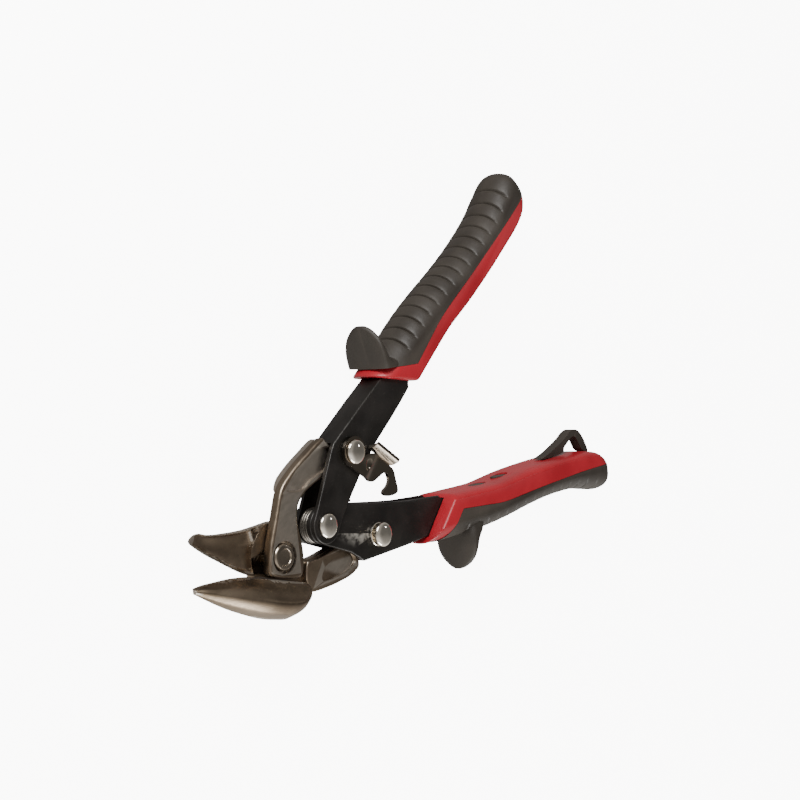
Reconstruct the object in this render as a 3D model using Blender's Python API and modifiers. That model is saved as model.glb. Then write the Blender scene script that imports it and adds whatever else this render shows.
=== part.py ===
"""Offset aviation snips with compound levers, open, lying on their far side.

The plan view is XY: the handles point to +X, the jaws to -X, and +Z is the near
side. Sizes are in millimetres and are scaled to metres where geometry is made.
Plan coordinates are measured from the pivot bolt, and heights from the plane in
which the two cutting edges meet. The two handles are the same pressing, one
turned half a turn about X, so each is drawn in its own (along, outward) plane.
"""
import math

import bmesh
import bpy
from mathutils import Matrix, Vector

MM = 0.001
MERGE = 0.00001
SHARP_ANGLE = 30.0

# Place of the pivot bolt's axis and of the shear plane in the part's frame
PIVOT_X = -70.10
PIVOT_Y = 0.0
SHEAR_Z = 10.4

# Compound linkage, open: pivot bolt, tail rivets and fulcrum rivet
TAIL_LENGTH = 48.3
TAIL_ANGLE = 20.7
FULCRUM_X = 21.95
HANDLE_ANGLE = 21.1
UPPER_RIVET = (TAIL_LENGTH * math.cos(math.radians(TAIL_ANGLE)),
               TAIL_LENGTH * math.sin(math.radians(TAIL_ANGLE)))
LOWER_RIVET = (UPPER_RIVET[0], -UPPER_RIVET[1])

# Layers, as heights above or below the shear plane
GAP = 0.3
SHEAR_GAP = 0.15
BLADE_FACE = 4.05
TAIL_PAD = 2.05
FLANGE_WIDE = (4.3, 6.0)
FLANGE_NARROW = (-4.0, -2.3)
WEB_THICK = 1.5
PAD_OVERLAP = 1.0
THROUGH = 15.0

# Round fastenings, with each rivet's seats for its head and its peened end
SEGMENTS = 28
ARC_STEPS = 14
SHANK_R = 2.5
HOLE_R = 2.8
RIVET_HEAD_R = 4.4
RIVET_DOME = 1.9
HEAD_RIM = 0.4
PEEN_R = 3.9
PEEN_DOME = 1.3
PEEN_RIM = 0.3
DOME_STEPS = 5
NECK_R = 1.9
COLLAR_R = 4.3
FULCRUM_SEATS = (6.2, -6.2)
UPPER_TAIL_SEATS = (8.1, -4.2)
LOWER_TAIL_SEATS = (6.8, -6.2)
LOWER_TAIL_COLLAR = (4.2, 5.1)
BOLT_R = 3.5
BOLT_HOLE_R = 3.75
BOLT_SLACK_R = 4.1
BOLT_HEAD_R = 4.9
BOLT_HEAD = [(0.0, 3.8), (2.6, 3.8), (2.9, 4.3), (4.2, 4.3), (BOLT_HEAD_R, 3.6)]
BOLT_END = -10.0
BOLT_CHAMFER = 0.5
RECESS_R = 5.75
RECESS_FLOOR = 1.9
WASHER_R = 7.2
WASHER_Z = (-5.2, -4.35)
WASHER_SEAT_R = 7.9
LOCK_WASHER_R = 6.0
LOCK_WASHER_Z = (-6.3, -5.5)
NUT_R = 6.6
NUT_Z = (-9.4, -6.6)
BUSH_R = 4.6
BUSH_BORE_R = 2.85
BUSH_Z = (-2.0, 2.0)
LATCH_WASHER_R = 5.2
LATCH_WASHER_Z = (6.2, 6.5)

# Near blade: boss and tail outline round the pivot, then the tail's end circle
TAIL_END_R = 6.4
NEAR_TAIL_ARC = (125, -145)
NEAR_PAD_ARC = (120, -140)
NEAR_OUTER_EDGE = [(-9.5, -2.5), (-6.8, 2.4), (-3.7, 7.2), (1.7, 13.0), (4.9, 16.6), (8.0, 20.3),
                   (11.4, 22.8), (20.0, 25.3), (28.0, 26.6), (34.0, 27.5), (36.4, 27.4), (37.1, 26.7),
                   (39.0, 22.0)]
NEAR_INNER_EDGE = [(34.0, 14.0), (29.5, 15.1), (20.2, 15.0), (16.7, 13.8), (14.0, 12.1), (11.7, 8.2),
                   (10.8, 4.5), (10.3, 0.9), (9.4, -3.0), (7.3, -7.5), (3.9, -11.3)]
NEAR_PAD_OUTER = [(8.8, 20.6), (11.6, 22.5), (20.0, 25.0), (28.0, 26.3), (33.9, 27.2), (36.2, 27.1),
                  (36.8, 26.5), (38.7, 22.0)]
NEAR_PAD_INNER = [(34.0, 14.3), (29.5, 15.4), (20.2, 15.3), (16.5, 14.1), (14.4, 12.8)]

# Far blade, the same way, with the pivot boss as an arc
BOSS_R = 12.4
BOSS_ARC = (250, -34)
BOSS_STEPS = 26
FAR_TAIL_ARC = (140, -120)
FAR_PAD_ARC = (138, -118)
FAR_INNER_EDGE = [(10.6, -7.0), (13.0, -8.9), (17.0, -10.1), (24.6, -11.3), (33.0, -12.6)]
FAR_OUTER_EDGE = [(35.0, -20.6), (34.0, -23.3), (33.3, -24.3), (28.2, -24.9), (19.5, -23.2),
                  (11.0, -20.8), (5.0, -18.4), (0.0, -14.4)]
FAR_PAD_INNER = [(7.4, -13.2), (9.4, -9.9), (11.0, -8.2), (13.1, -9.2), (17.0, -10.4), (24.6, -11.6),
                 (33.0, -12.9)]
FAR_PAD_OUTER = [(34.8, -20.6), (33.8, -23.1), (33.1, -24.0), (28.2, -24.6), (19.5, -22.9),
                 (11.4, -20.6), (6.7, -18.7)]

# Jaws: for each station out from the pivot, the depths of the cutting edge, the
# top of the land, the shelf's ridge, the bulge and the keel from the jaw's axis,
# then the heights of the land, ridge, bulge and keel above the shear plane
JAW_SWELL = 0.05
BULGE_FALL = 0.86
KEEL_UNDERCUT = 0.25
NEAR_JAW_ANGLE = 163.8
NEAR_JAW = [
    (-9.5, 11.6, 11.7, 12.1, 12.9, 13.7, 3.4, 4.2, 5.0, 3.0),
    (-8.2, 11.0, 11.2, 12.5, 14.1, 15.4, 3.6, 5.2, 6.6, 3.0),
    (-6.0, 10.3, 10.5, 12.8, 15.2, 17.7, 3.9, 6.2, 8.4, 3.2),
    (-2.0, 8.8, 9.2, 12.4, 16.0, 20.3, 4.0, 7.0, 9.8, 3.5),
    (3.0, 7.0, 7.4, 11.3, 15.6, 21.2, 4.0, 7.4, 10.3, 3.6),
    (8.5, 4.9, 5.6, 9.5, 14.2, 20.0, 3.4, 7.5, 10.4, 3.6),
    (16.0, 2.8, 3.4, 6.8, 11.5, 17.5, 1.2, 7.4, 10.2, 3.5),
    (24.0, 1.3, 1.8, 4.7, 8.6, 13.6, 0.9, 6.7, 9.0, 3.2),
    (31.0, 0.6, 1.0, 3.0, 5.7, 9.6, 0.8, 5.2, 6.8, 2.6),
    (37.0, 0.1, 0.4, 1.5, 3.1, 5.4, 0.7, 3.2, 4.0, 1.8),
    (41.0, 0.2, 0.4, 0.8, 1.5, 2.4, 0.5, 1.3, 1.7, 1.0),
]
FAR_JAW_ANGLE = 143.8
FAR_JAW = [
    (-2.0, -6.0, -5.7, -2.0, 4.0, 11.0, 3.4, 6.0, 8.0, 1.5),
    (5.3, -7.0, -6.6, -2.6, 3.6, 11.6, 2.4, 7.0, 10.0, 1.5),
    (11.7, -7.6, -7.1, -3.4, 2.4, 9.6, 1.1, 7.4, 10.4, 1.5),
    (18.2, -6.8, -6.3, -3.4, 1.2, 7.4, 0.9, 7.2, 10.0, 1.5),
    (27.6, -4.4, -4.0, -2.0, 1.2, 5.2, 0.8, 5.6, 7.4, 1.4),
    (33.2, -2.9, -2.5, -1.0, 1.2, 4.3, 0.7, 4.2, 5.4, 1.2),
    (37.2, -1.6, -1.3, -0.3, 1.2, 4.3, 0.6, 3.0, 3.8, 1.0),
    (39.9, -0.6, -0.4, 0.2, 1.4, 3.5, 0.5, 1.9, 2.4, 0.8),
    (41.5, 0.2, 0.3, 0.7, 1.3, 2.1, 0.4, 0.9, 1.2, 0.6),
]

# Handle pressing, in the handle's own (along, outward) plane from the fulcrum
FLANGE_END_R = 6.6
FLANGE_ARC = (100, 290)
HOLLOW_ALONG = (-20.0, 150.0)
HOLLOW_OUTWARD = (-20.0, 30.0)
WEB_OUTER = [(122.0, 7.6), (75.0, 11.6), (57.0, 12.8), (46.0, 14.2)]
TAIL_RIVET_LOCAL = (27.72, 7.56)

# Grip section along the handle: inner face, outer face and half width
GRIP_INNER = [(50, -1.3), (76, -1.4), (90, -1.5), (98, -1.9), (112, -3.8), (129, -5.2), (147, -6.0),
              (155, -6.1), (159.5, -5.6), (163, -4.4), (166, -2.4), (168.6, 0.0), (170.4, 2.4), (171.3, 4.2)]
GRIP_OUTER = [(50, 16.3), (62, 16.1), (75, 15.6), (90, 14.9), (104, 13.2), (117, 11.0), (130, 9.3),
              (144, 8.6), (152, 9.0), (160, 10.4), (165.5, 11.1), (169.2, 10.2), (171.3, 8.0)]
GRIP_HALF = [(50, 10.9), (100, 10.9), (140, 10.8), (157, 10.7), (163.5, 10.2), (167.5, 8.8), (170.1, 6.2),
             (171.3, 3.8)]
GRIP_FLAT = 10.4
GRIP_RING = 28
GRIP_WIDEST = 0.42
INNER_POWER = 0.42
OUTER_POWER = 0.9
GRIP_STATIONS = [50, 60, 70, 80, 90, 98, 106, 114, 122, 130, 138, 146, 152, 158, 162, 166, 169, 170.6,
                 171.3]
COLOUR_LINE = [(74.0, 4.5), (85.0, 5.2), (95.0, 5.6), (107.0, 4.7), (120.0, 3.3), (133.0, 2.2),
               (146.0, 1.2), (160.0, 0.5), (180.0, 0.0)]
COLLAR_DEPTH = 15.5
REGION_END = 180.0
REGION_HALF = 20.0
REGION_OUTWARD = (-8.0, 18.0)
COVER_REACH = 45.0
POCKET_INNER = -0.1
POCKET_SLACK = 0.35
POCKET_MOUTH = (40.0, 15.3)

# Finger guard levels: outward height, thickness and half width
GUARD_LEVELS = [(10.0, 12.0, 9.2), (14.0, 9.5, 9.9), (17.0, 6.5, 9.9), (20.5, 4.6, 9.6), (24.0, 3.6, 8.3),
                (26.6, 3.0, 6.0), (28.3, 2.2, 3.4), (29.0, 1.2, 1.4)]
GUARD_RING = 16
GUARD_POWER = 0.7
GUARD_ROOT_LEVEL = 2
GUARD_ROOT_DROP = 2.0

# What differs between the two handles
HANDLES = {
    "upper": {
        "front_edge": [(24.4, 16.3), (21.8, 15.6), (13.1, 12.2), (4.5, 8.6)],
        "web_front": 24.4,
        "flange_inner": [(7.0, -4.6), (13.0, -3.5), (25.0, -1.7), (38.0, -0.6), (52.0, -1.2), (60.0, -1.3),
                         (66.4, -1.2), (67.6, 0.2), (122.0, 0.2)],
        "spring_leg": (15.0, -4.2),
        "collar_front": (68.5, 56.5),
        "band_inner": 73.0,
        "band_outer": 60.5,
        "guard_root": 60.1,
        "guard_tip": 68.4,
    },
    "lower": {
        "front_edge": [(20.0, 16.2), (17.6, 14.4), (13.4, 11.8), (4.5, 8.6)],
        "web_front": 20.0,
        "flange_inner": [(4.5, -6.6), (14.0, -5.9), (22.7, -4.6), (31.0, -3.6), (39.0, -2.7), (47.5, -1.9),
                         (56.0, -1.5), (64.4, -1.2), (65.6, 0.2), (122.0, 0.2)],
        "spring_leg": (15.0, -6.7),
        "collar_front": (66.5, 54.0),
        "band_inner": 70.5,
        "band_outer": 61.0,
        "guard_root": 75.2,
        "guard_tip": 76.2,
    },
}

# Hang loop on the lower grip's inner face
LOOP_HALF = 2.2
LOOP_OUTLINE = [(129.4, -5.6), (137.0, -7.5), (147.6, -12.0), (151.1, -14.4), (154.4, -15.4), (157.3, -14.9),
                (159.6, -12.9), (162.0, -9.4), (164.2, -4.4), (159.4, -6.0), (158.0, -8.6), (156.2, -11.4),
                (154.6, -12.6), (152.4, -12.1), (149.4, -9.9), (147.2, -8.6), (147.2, -6.4)]

# Two plain oval inlays in each grip's inner face
INLAY_PLACES = {"front": 92.0, "rear": 106.0}
INLAY_LENGTH = 9.0
INLAY_WIDTH = 5.0
INLAY_DEPTH = 0.9
INLAY_SINK = 0.05
INLAY_CUT = 3.0

# Latch plate, in plan from the upper tail rivet
LATCH_Z = (6.7, 7.9)
LATCH_DROP = 1.4
LATCH_BEND = (8.6, 14.0)
LATCH_AXIS = (0.49, -0.87)
LATCH_END_R = 5.6
LATCH_ARC = (-20, 205)
BEND_SLACK = 0.000001
LATCH_OUTLINE = [(-4.6, -4.0), (-1.0, -8.5), (2.8, -13.6), (4.0, -14.7), (5.6, -15.1), (7.6, -15.0),
                 (11.4, -14.8), (12.6, -15.6), (12.9, -17.0), (12.5, -18.9), (10.5, -20.2), (7.9, -20.4),
                 (7.2, -21.7), (9.2, -23.7), (14.1, -25.2), (15.5, -24.3), (16.0, -20.4), (16.8, -16.7),
                 (15.5, -14.3), (8.4, -3.4)]
TAB_FOOT = ((8.1, -3.0), (15.3, -14.1))
TAB_THICK = 1.2
TAB_TOP = 10.4
TAB_SINK = 0.3
TAB_LEAN = 1.6

# Torsion spring round the fulcrum
WIRE_R = 0.55
COIL_R = 6.0
COIL_HALF = 1.5
LEG_HOOK = 2.2
COIL_TURNS = 3
COIL_POINTS = 15


def plan(point):
    """A plan point in metres, as a vector in the shear plane."""
    return Vector((point[0], point[1], 0.0)) * MM


def remove_everything():
    for item in list(bpy.data.objects):
        bpy.data.objects.remove(item, do_unlink=True)


def make_collection(name):
    group = bpy.data.collections.new(name)
    bpy.context.scene.collection.children.link(group)
    return group


def make_material(name, colour, roughness, metallic):
    material = bpy.data.materials.new(name)
    material.use_nodes = True
    shader = material.node_tree.nodes["Principled BSDF"]
    shader.inputs["Base Color"].default_value = (*colour, 1.0)
    shader.inputs["Roughness"].default_value = roughness
    shader.inputs["Metallic"].default_value = metallic
    return material


def make_empty(name, parent, location, angle=0.0, flipped=False):
    """An axis for moving pieces; a flipped one is turned over about X."""
    empty = bpy.data.objects.new(name, None)
    PARTS.objects.link(empty)
    empty.parent = parent
    turn = Matrix.Rotation(math.radians(angle), 4, "Z")
    over = Matrix.Rotation(math.pi if flipped else 0.0, 4, "X")
    empty.matrix_local = Matrix.Translation(location) @ turn @ over
    return empty


def add_object(name, mesh, parent, material=None):
    item = bpy.data.objects.new(name, mesh)
    PARTS.objects.link(item)
    item.parent = parent
    if material:
        mesh.materials.append(material)
    return item


def arc(centre, radius, span, steps=ARC_STEPS):
    """Points of an arc between two angles in degrees."""
    start, end = span
    points = []
    for step in range(steps + 1):
        angle = math.radians(start + (end - start) * step / steps)
        points.append((centre[0] + radius * math.cos(angle), centre[1] + radius * math.sin(angle)))
    return points


def smooth_value(table, at):
    """A smooth curve through a table's (place, value) rows, read at a place."""
    if at <= table[0][0]:
        return table[0][1]
    if at >= table[-1][0]:
        return table[-1][1]
    index = max(i for i in range(len(table) - 1) if table[i][0] <= at)
    slopes = []
    for i in (index, index + 1):
        low = table[max(i - 1, 0)]
        high = table[min(i + 1, len(table) - 1)]
        slopes.append((high[1] - low[1]) / (high[0] - low[0]))
    start, end = table[index], table[index + 1]
    span = end[0] - start[0]
    f = (at - start[0]) / span
    return (start[1] * (1 + 2 * f) * (1 - f) ** 2 + slopes[0] * span * f * (1 - f) ** 2
            + end[1] * f * f * (3 - 2 * f) - slopes[1] * span * f * f * (1 - f))


def plate(name, outline, low, high, parent, material=None):
    """A flat outline, extruded from one height to the other, as a mesh."""
    curve = bpy.data.curves.new(name, "CURVE")
    curve.dimensions = "2D"
    curve.fill_mode = "BOTH"
    curve.extrude = (high - low) / 2 * MM
    spline = curve.splines.new("POLY")
    spline.points.add(len(outline) - 1)
    for point, (x, y) in zip(spline.points, outline):
        point.co = (x * MM, y * MM, 0.0, 1.0)
    spline.use_cyclic_u = True
    drawn = bpy.data.objects.new(name, curve)
    PARTS.objects.link(drawn)
    mesh = bpy.data.meshes.new_from_object(drawn.evaluated_get(bpy.context.evaluated_depsgraph_get()))
    bpy.data.objects.remove(drawn, do_unlink=True)
    weld(mesh)
    mesh.transform(Matrix.Translation((0.0, 0.0, (high + low) / 2 * MM)))
    return add_object(name, mesh, parent, material)


def weld(mesh):
    """Join a swept curve's loose caps to its sides, with faces pointing out."""
    shape = bmesh.new()
    shape.from_mesh(mesh)
    bmesh.ops.remove_doubles(shape, verts=shape.verts, dist=MERGE)
    bmesh.ops.recalc_face_normals(shape, faces=shape.faces)
    shape.to_mesh(mesh)
    shape.free()


def loft(name, rings, parent, material=None):
    """A closed solid through rings of equal count, which are in metres."""
    shape = bmesh.new()
    rows = []
    for ring in rings:
        rows.append([shape.verts.new(point) for point in ring])
    count = len(rows[0])
    for first, second in zip(rows, rows[1:]):
        for i in range(count):
            j = (i + 1) % count
            shape.faces.new((first[i], first[j], second[j], second[i]))
    shape.faces.new(rows[0])
    shape.faces.new(rows[-1])
    bmesh.ops.recalc_face_normals(shape, faces=shape.faces)
    mesh = bpy.data.meshes.new(name)
    shape.to_mesh(mesh)
    shape.free()
    return add_object(name, mesh, parent, material)


def turned(name, profile, place, parent, material):
    """A solid of revolution about Z, from (radius, height) points, top to bottom."""
    mesh = bpy.data.meshes.new(name)
    points = [(radius * MM, 0.0, height * MM) for radius, height in profile]
    edges = [(i, i + 1) for i in range(len(points) - 1)]
    closed = profile[0][0] > 0.0
    if closed:
        edges.append((len(points) - 1, 0))
    mesh.from_pydata(points, edges, [])
    item = add_object(name, mesh, parent, material)
    item.location = plan(place)
    screw = item.modifiers.new("turn", "SCREW")
    screw.steps = SEGMENTS
    screw.render_steps = SEGMENTS
    screw.use_merge_vertices = True
    screw.merge_threshold = MERGE
    screw.use_smooth_shade = False
    return item


def combine(target, tool, operation):
    """Join, cut or keep with another solid, which becomes a hidden cutter."""
    if tool.name in PARTS.objects:
        PARTS.objects.unlink(tool)
        CUTTERS.objects.link(tool)
    tool.hide_render = True
    tool.display_type = "WIRE"
    modifier = target.modifiers.new(tool.name, "BOOLEAN")
    modifier.operation = operation
    modifier.solver = "EXACT"
    modifier.object = tool


def drill(name, target, place, radius, low=-THROUGH, high=THROUGH):
    """Cut a round hole through a solid, in the solid's own space."""
    circle = arc(place, radius, (0, 360 - 360 / SEGMENTS), SEGMENTS - 1)
    tool = plate(name, circle, low, high, target.parent)
    combine(target, tool, "DIFFERENCE")


def shift_origin(item, place):
    """Put a plan-drawn object's origin at a point of the plan."""
    item.data.transform(Matrix.Translation(-plan(place)))
    item.location = plan(place)


def jaw(name, stations, angle, side):
    """A jaw lofted along its axis; side is 1 towards the near side, -1 towards the far."""
    along = Vector((math.cos(math.radians(angle)), math.sin(math.radians(angle)), 0.0))
    deep = Vector((-along.y, along.x, 0.0)) * side
    rings = []
    for out, edge, land, ridge, bulge, keel, land_z, ridge_z, bulge_z, keel_z in stations:
        middle = (bulge + keel) / 2
        section = [(edge, SHEAR_GAP), (land, land_z), ((land + ridge) / 2, (land_z + ridge_z) / 2),
                   (ridge, ridge_z), ((ridge + bulge) / 2, (ridge_z + bulge_z) / 2 + bulge_z * JAW_SWELL),
                   (bulge, bulge_z), (middle, bulge_z * BULGE_FALL),
                   ((middle + keel) / 2, (bulge_z + keel_z) / 2),
                   (keel, keel_z), (keel - keel_z * KEEL_UNDERCUT, SHEAR_GAP)]
        rings.append([(along * out + deep * depth + Vector((0, 0, side * height))) * MM
                      for depth, height in section])
    return loft(name, rings, SNIPS)


def make_near_blade():
    """Lower jaw on the near side, with the tail that runs up into the upper handle."""
    outline = NEAR_OUTER_EDGE + arc(UPPER_RIVET, TAIL_END_R, NEAR_TAIL_ARC) + NEAR_INNER_EDGE
    blade = plate("near_blade", outline, SHEAR_GAP, BLADE_FACE, SNIPS, FORGED)
    pad_outline = NEAR_PAD_OUTER + arc(UPPER_RIVET, TAIL_END_R, NEAR_PAD_ARC) + NEAR_PAD_INNER
    combine(blade, plate("near_tail_pad", pad_outline, -TAIL_PAD, PAD_OVERLAP, SNIPS), "UNION")
    combine(blade, jaw("near_jaw", NEAR_JAW, NEAR_JAW_ANGLE, 1), "UNION")
    drill("near_pivot_hole", blade, (0, 0), BOLT_HOLE_R)
    drill("near_bolt_recess", blade, (0, 0), RECESS_R, low=RECESS_FLOOR)
    drill("near_tail_hole", blade, UPPER_RIVET, HOLE_R)
    shift_origin(blade, UPPER_RIVET)


def make_far_blade():
    """Upper jaw on the far side, with the tail that runs down into the lower handle."""
    boss = arc((0, 0), BOSS_R, BOSS_ARC, BOSS_STEPS)
    outline = boss + FAR_INNER_EDGE + arc(LOWER_RIVET, TAIL_END_R, FAR_TAIL_ARC) + FAR_OUTER_EDGE
    blade = plate("far_blade", outline, -BLADE_FACE, -SHEAR_GAP, SNIPS, FORGED)
    pad_outline = FAR_PAD_INNER + arc(LOWER_RIVET, TAIL_END_R, FAR_PAD_ARC) + FAR_PAD_OUTER
    combine(blade, plate("far_tail_pad", pad_outline, -PAD_OVERLAP, TAIL_PAD, SNIPS), "UNION")
    combine(blade, jaw("far_jaw", FAR_JAW, FAR_JAW_ANGLE, -1), "UNION")
    drill("far_pivot_hole", blade, (0, 0), BOLT_SLACK_R)
    drill("far_washer_seat", blade, (0, 0), WASHER_SEAT_R, high=-BLADE_FACE)
    drill("far_tail_hole", blade, LOWER_RIVET, HOLE_R)
    shift_origin(blade, LOWER_RIVET)


def make_frame(side, parent):
    """A pressed steel channel: two flanges joined by a web on the outward side."""
    shape = HANDLES[side]
    outline = arc((0, 0), FLANGE_END_R, FLANGE_ARC) + shape["flange_inner"] + WEB_OUTER + shape["front_edge"]
    frame = plate(side + "_frame", outline, FLANGE_NARROW[0], FLANGE_WIDE[1], parent, BLACK_STEEL)
    inner_web = [(x, y - WEB_THICK) for x, y in WEB_OUTER]
    front = shape["web_front"]
    front_edge = [(front, shape["front_edge"][0][1] - WEB_THICK), (front, HOLLOW_OUTWARD[1])]
    back, ahead = HOLLOW_ALONG
    hollow = [(back, HOLLOW_OUTWARD[0]), (ahead, HOLLOW_OUTWARD[0]), (ahead, inner_web[0][1])]
    hollow += inner_web + front_edge + [(back, HOLLOW_OUTWARD[1])]
    combine(frame, plate(side + "_channel_hollow", hollow, FLANGE_NARROW[1], FLANGE_WIDE[0], parent),
            "DIFFERENCE")
    drill(side + "_fulcrum_hole", frame, (0, 0), HOLE_R)
    drill(side + "_tail_hole", frame, TAIL_RIVET_LOCAL, HOLE_R)


def signed_power(value, power):
    return math.copysign(abs(value) ** power, value)


def grip_ring(along):
    """One section of a grip: squarer on its inner side, rounder on its outer side."""
    inner = smooth_value(GRIP_INNER, along)
    outer = smooth_value(GRIP_OUTER, along)
    half = smooth_value(GRIP_HALF, along)
    middle = inner + (outer - inner) * GRIP_WIDEST
    ring = []
    for i in range(GRIP_RING):
        angle = 2 * math.pi * (i + 0.5) / GRIP_RING
        power = OUTER_POWER if math.sin(angle) > 0 else INNER_POWER
        reach = outer - middle if math.sin(angle) > 0 else middle - inner
        across = half * signed_power(math.cos(angle), power)
        across = max(-GRIP_FLAT, min(GRIP_FLAT, across))
        ring.append(Vector((along, middle + reach * signed_power(math.sin(angle), power), across)) * MM)
    return ring


def grip_body(name, parent, material=None):
    return loft(name, [grip_ring(along) for along in GRIP_STATIONS], parent, material)


def make_guard(side, parent):
    """The finger guard, a tongue that leans back as it rises from the grip."""
    shape = HANDLES[side]
    base, top = GUARD_LEVELS[GUARD_ROOT_LEVEL][0], GUARD_LEVELS[-1][0]
    slope = (shape["guard_tip"] - shape["guard_root"]) / (top - base)
    rings = []
    for height, thick, half in GUARD_LEVELS:
        front = shape["guard_root"] + max(height - base, -GUARD_ROOT_DROP) * slope
        ring = []
        for i in range(GUARD_RING):
            angle = 2 * math.pi * (i + 0.5) / GUARD_RING
            along = front + thick / 2 + thick / 2 * signed_power(math.sin(angle), GUARD_POWER)
            ring.append(Vector((along, height, half * signed_power(math.cos(angle), GUARD_POWER))) * MM)
        rings.append(ring)
    return loft(side + "_guard", rings, parent)


def collar_line(side, outward):
    """Where the red collar ends and the black begins, at an outward height."""
    inner, outer = HANDLES[side]["band_inner"], HANDLES[side]["band_outer"]
    start = COLOUR_LINE[0][1]
    return inner + (outward - start) * (outer - inner) / (COLLAR_DEPTH - start)


def colour_line(side):
    """Where red meets black along a grip, from the collar's band to the tip."""
    return [(HANDLES[side]["band_inner"], COLOUR_LINE[0][1])] + COLOUR_LINE[1:]


def front_line(side, outward):
    """The slanted front of the collar."""
    inner, outer = HANDLES[side]["collar_front"]
    return inner + (outer - inner) * outward / COLLAR_DEPTH


def pocket(name, parent):
    """The space that the pressed frame fills inside a grip."""
    web = [(x, y + POCKET_SLACK) for x, y in WEB_OUTER]
    end = web[0][0] + GAP
    outline = [(POCKET_MOUTH[0], POCKET_INNER), (end, POCKET_INNER), (end, web[0][1])] + web[1:]
    return plate(name, outline + [POCKET_MOUTH], FLANGE_NARROW[0] - GAP, FLANGE_WIDE[1] + GAP, parent)


def make_core(side, parent):
    """The red half: the inner tray and the collar round the steel."""
    core = grip_body(side + "_grip_core", parent, RED_PLASTIC)
    low, high = REGION_OUTWARD
    region = [(front_line(side, low), low), (front_line(side, high), high), (collar_line(side, high), high)]
    region += colour_line(side) + [(REGION_END, low)]
    combine(core, plate(side + "_core_region", region, -REGION_HALF, REGION_HALF, parent), "INTERSECT")
    combine(core, pocket(side + "_core_pocket", parent), "DIFFERENCE")
    for place in INLAY_PLACES.values():
        face = smooth_value(GRIP_INNER, place)
        recess = oval(side + "_inlay_recess", place, face - INLAY_CUT, face + INLAY_DEPTH, GAP, parent)
        combine(core, recess, "DIFFERENCE")


def oval(name, place, low, high, extra, parent, material=None):
    """An upright oval pad across the inner face, between two outward heights."""
    rings = []
    for height in (low, high):
        ring = []
        for i in range(GUARD_RING):
            angle = 2 * math.pi * i / GUARD_RING
            ring.append(Vector((place + (INLAY_LENGTH / 2 + extra) * math.cos(angle), height,
                                (INLAY_WIDTH / 2 + extra) * math.sin(angle))) * MM)
        rings.append(ring)
    return loft(name, rings, parent, material)


def make_inlays(side, parent):
    """The plain oval inlays in the inner face."""
    for label, place in INLAY_PLACES.items():
        face = smooth_value(GRIP_INNER, place)
        oval(side + "_inlay_" + label, place, face + INLAY_SINK, face + INLAY_DEPTH - GAP, 0.0, parent,
             BLACK_RUBBER)


def make_overmold(side, parent):
    """The black half: the rounded back of the grip with its finger guard."""
    cover = grip_body(side + "_grip_overmold", parent, BLACK_RUBBER)
    combine(cover, make_guard(side, parent), "UNION")
    line = [(x, y + GAP) for x, y in colour_line(side)]
    line[0] = (line[0][0] + GAP, line[0][1])
    start = (collar_line(side, COVER_REACH) + GAP * 2, COVER_REACH)
    region = [start] + line + [(REGION_END, COVER_REACH)]
    combine(cover, plate(side + "_cover_region", region, -REGION_HALF, REGION_HALF, parent), "INTERSECT")
    combine(cover, pocket(side + "_cover_pocket", parent), "DIFFERENCE")


def make_hang_loop(parent):
    plate("hang_loop", LOOP_OUTLINE, -LOOP_HALF, LOOP_HALF, parent, BLACK_RUBBER)


def dome(radius, height, base, rim, upward=1):
    """Half the outline of a domed head, from its top to its rim."""
    points = []
    for step in range(DOME_STEPS + 1):
        angle = math.pi / 2 * (1 - step / DOME_STEPS)
        points.append((radius * math.cos(angle) if step else 0.0,
                       base + upward * (rim + (height - rim) * math.sin(angle))))
    return points


def tube(outer, inner, heights):
    """The outline of a ring that is turned, between two heights."""
    low, high = heights
    return [(outer, high), (outer, low), (inner, low), (inner, high)]


def make_rivet(name, place, seats, parent, collar=None):
    """A domed rivet through the layers; a collar leaves a neck for the latch."""
    head, peen = seats
    profile = dome(RIVET_HEAD_R, RIVET_DOME, head, HEAD_RIM) + [(RIVET_HEAD_R, head)]
    if collar:
        profile += [(NECK_R, head), (NECK_R, collar[1]), (COLLAR_R, collar[1]), (COLLAR_R, collar[0])]
        profile += [(SHANK_R, collar[0])]
    else:
        profile += [(SHANK_R, head)]
    profile += [(SHANK_R, peen), (PEEN_R, peen)] + dome(PEEN_R, PEEN_DOME, peen, PEEN_RIM, -1)[::-1]
    rivet = turned(name, profile, (0, 0), parent, CHROME)
    rivet.matrix_world = SNIPS.matrix_world @ Matrix.Translation(plan(place))


def make_pivot():
    """The bolt, and its washers and nut on the far side."""
    seat = RECESS_FLOOR + GAP
    bolt = BOLT_HEAD + [(BOLT_HEAD_R, seat), (BOLT_R, seat), (BOLT_R, BOLT_END + BOLT_CHAMFER),
                        (BOLT_R - BOLT_CHAMFER, BOLT_END), (0.0, BOLT_END)]
    turned("pivot_bolt", bolt, (0, 0), SNIPS, CHROME)
    turned("pivot_washer", tube(WASHER_R, BOLT_HOLE_R, WASHER_Z), (0, 0), SNIPS, DARK_STEEL)
    turned("pivot_lock_washer", tube(LOCK_WASHER_R, BOLT_HOLE_R, LOCK_WASHER_Z), (0, 0), SNIPS, DARK_STEEL)
    nut = plate("pivot_nut", arc((0, 0), NUT_R, (0, 300), 5), NUT_Z[0], NUT_Z[1], SNIPS, DARK_STEEL)
    drill("nut_hole", nut, (0, 0), BOLT_HOLE_R)


def make_bush():
    """The tube on the fulcrum rivet that the spring is wound round."""
    turned("spring_bush", tube(BUSH_R, BUSH_BORE_R, BUSH_Z), (FULCRUM_X, 0), SNIPS, DARK_STEEL)


def make_latch_washer():
    """The thin spring washer under the latch."""
    turned("latch_spring_washer", tube(LATCH_WASHER_R, HOLE_R, LATCH_WASHER_Z), UPPER_RIVET, SNIPS, CHROME)


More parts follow.
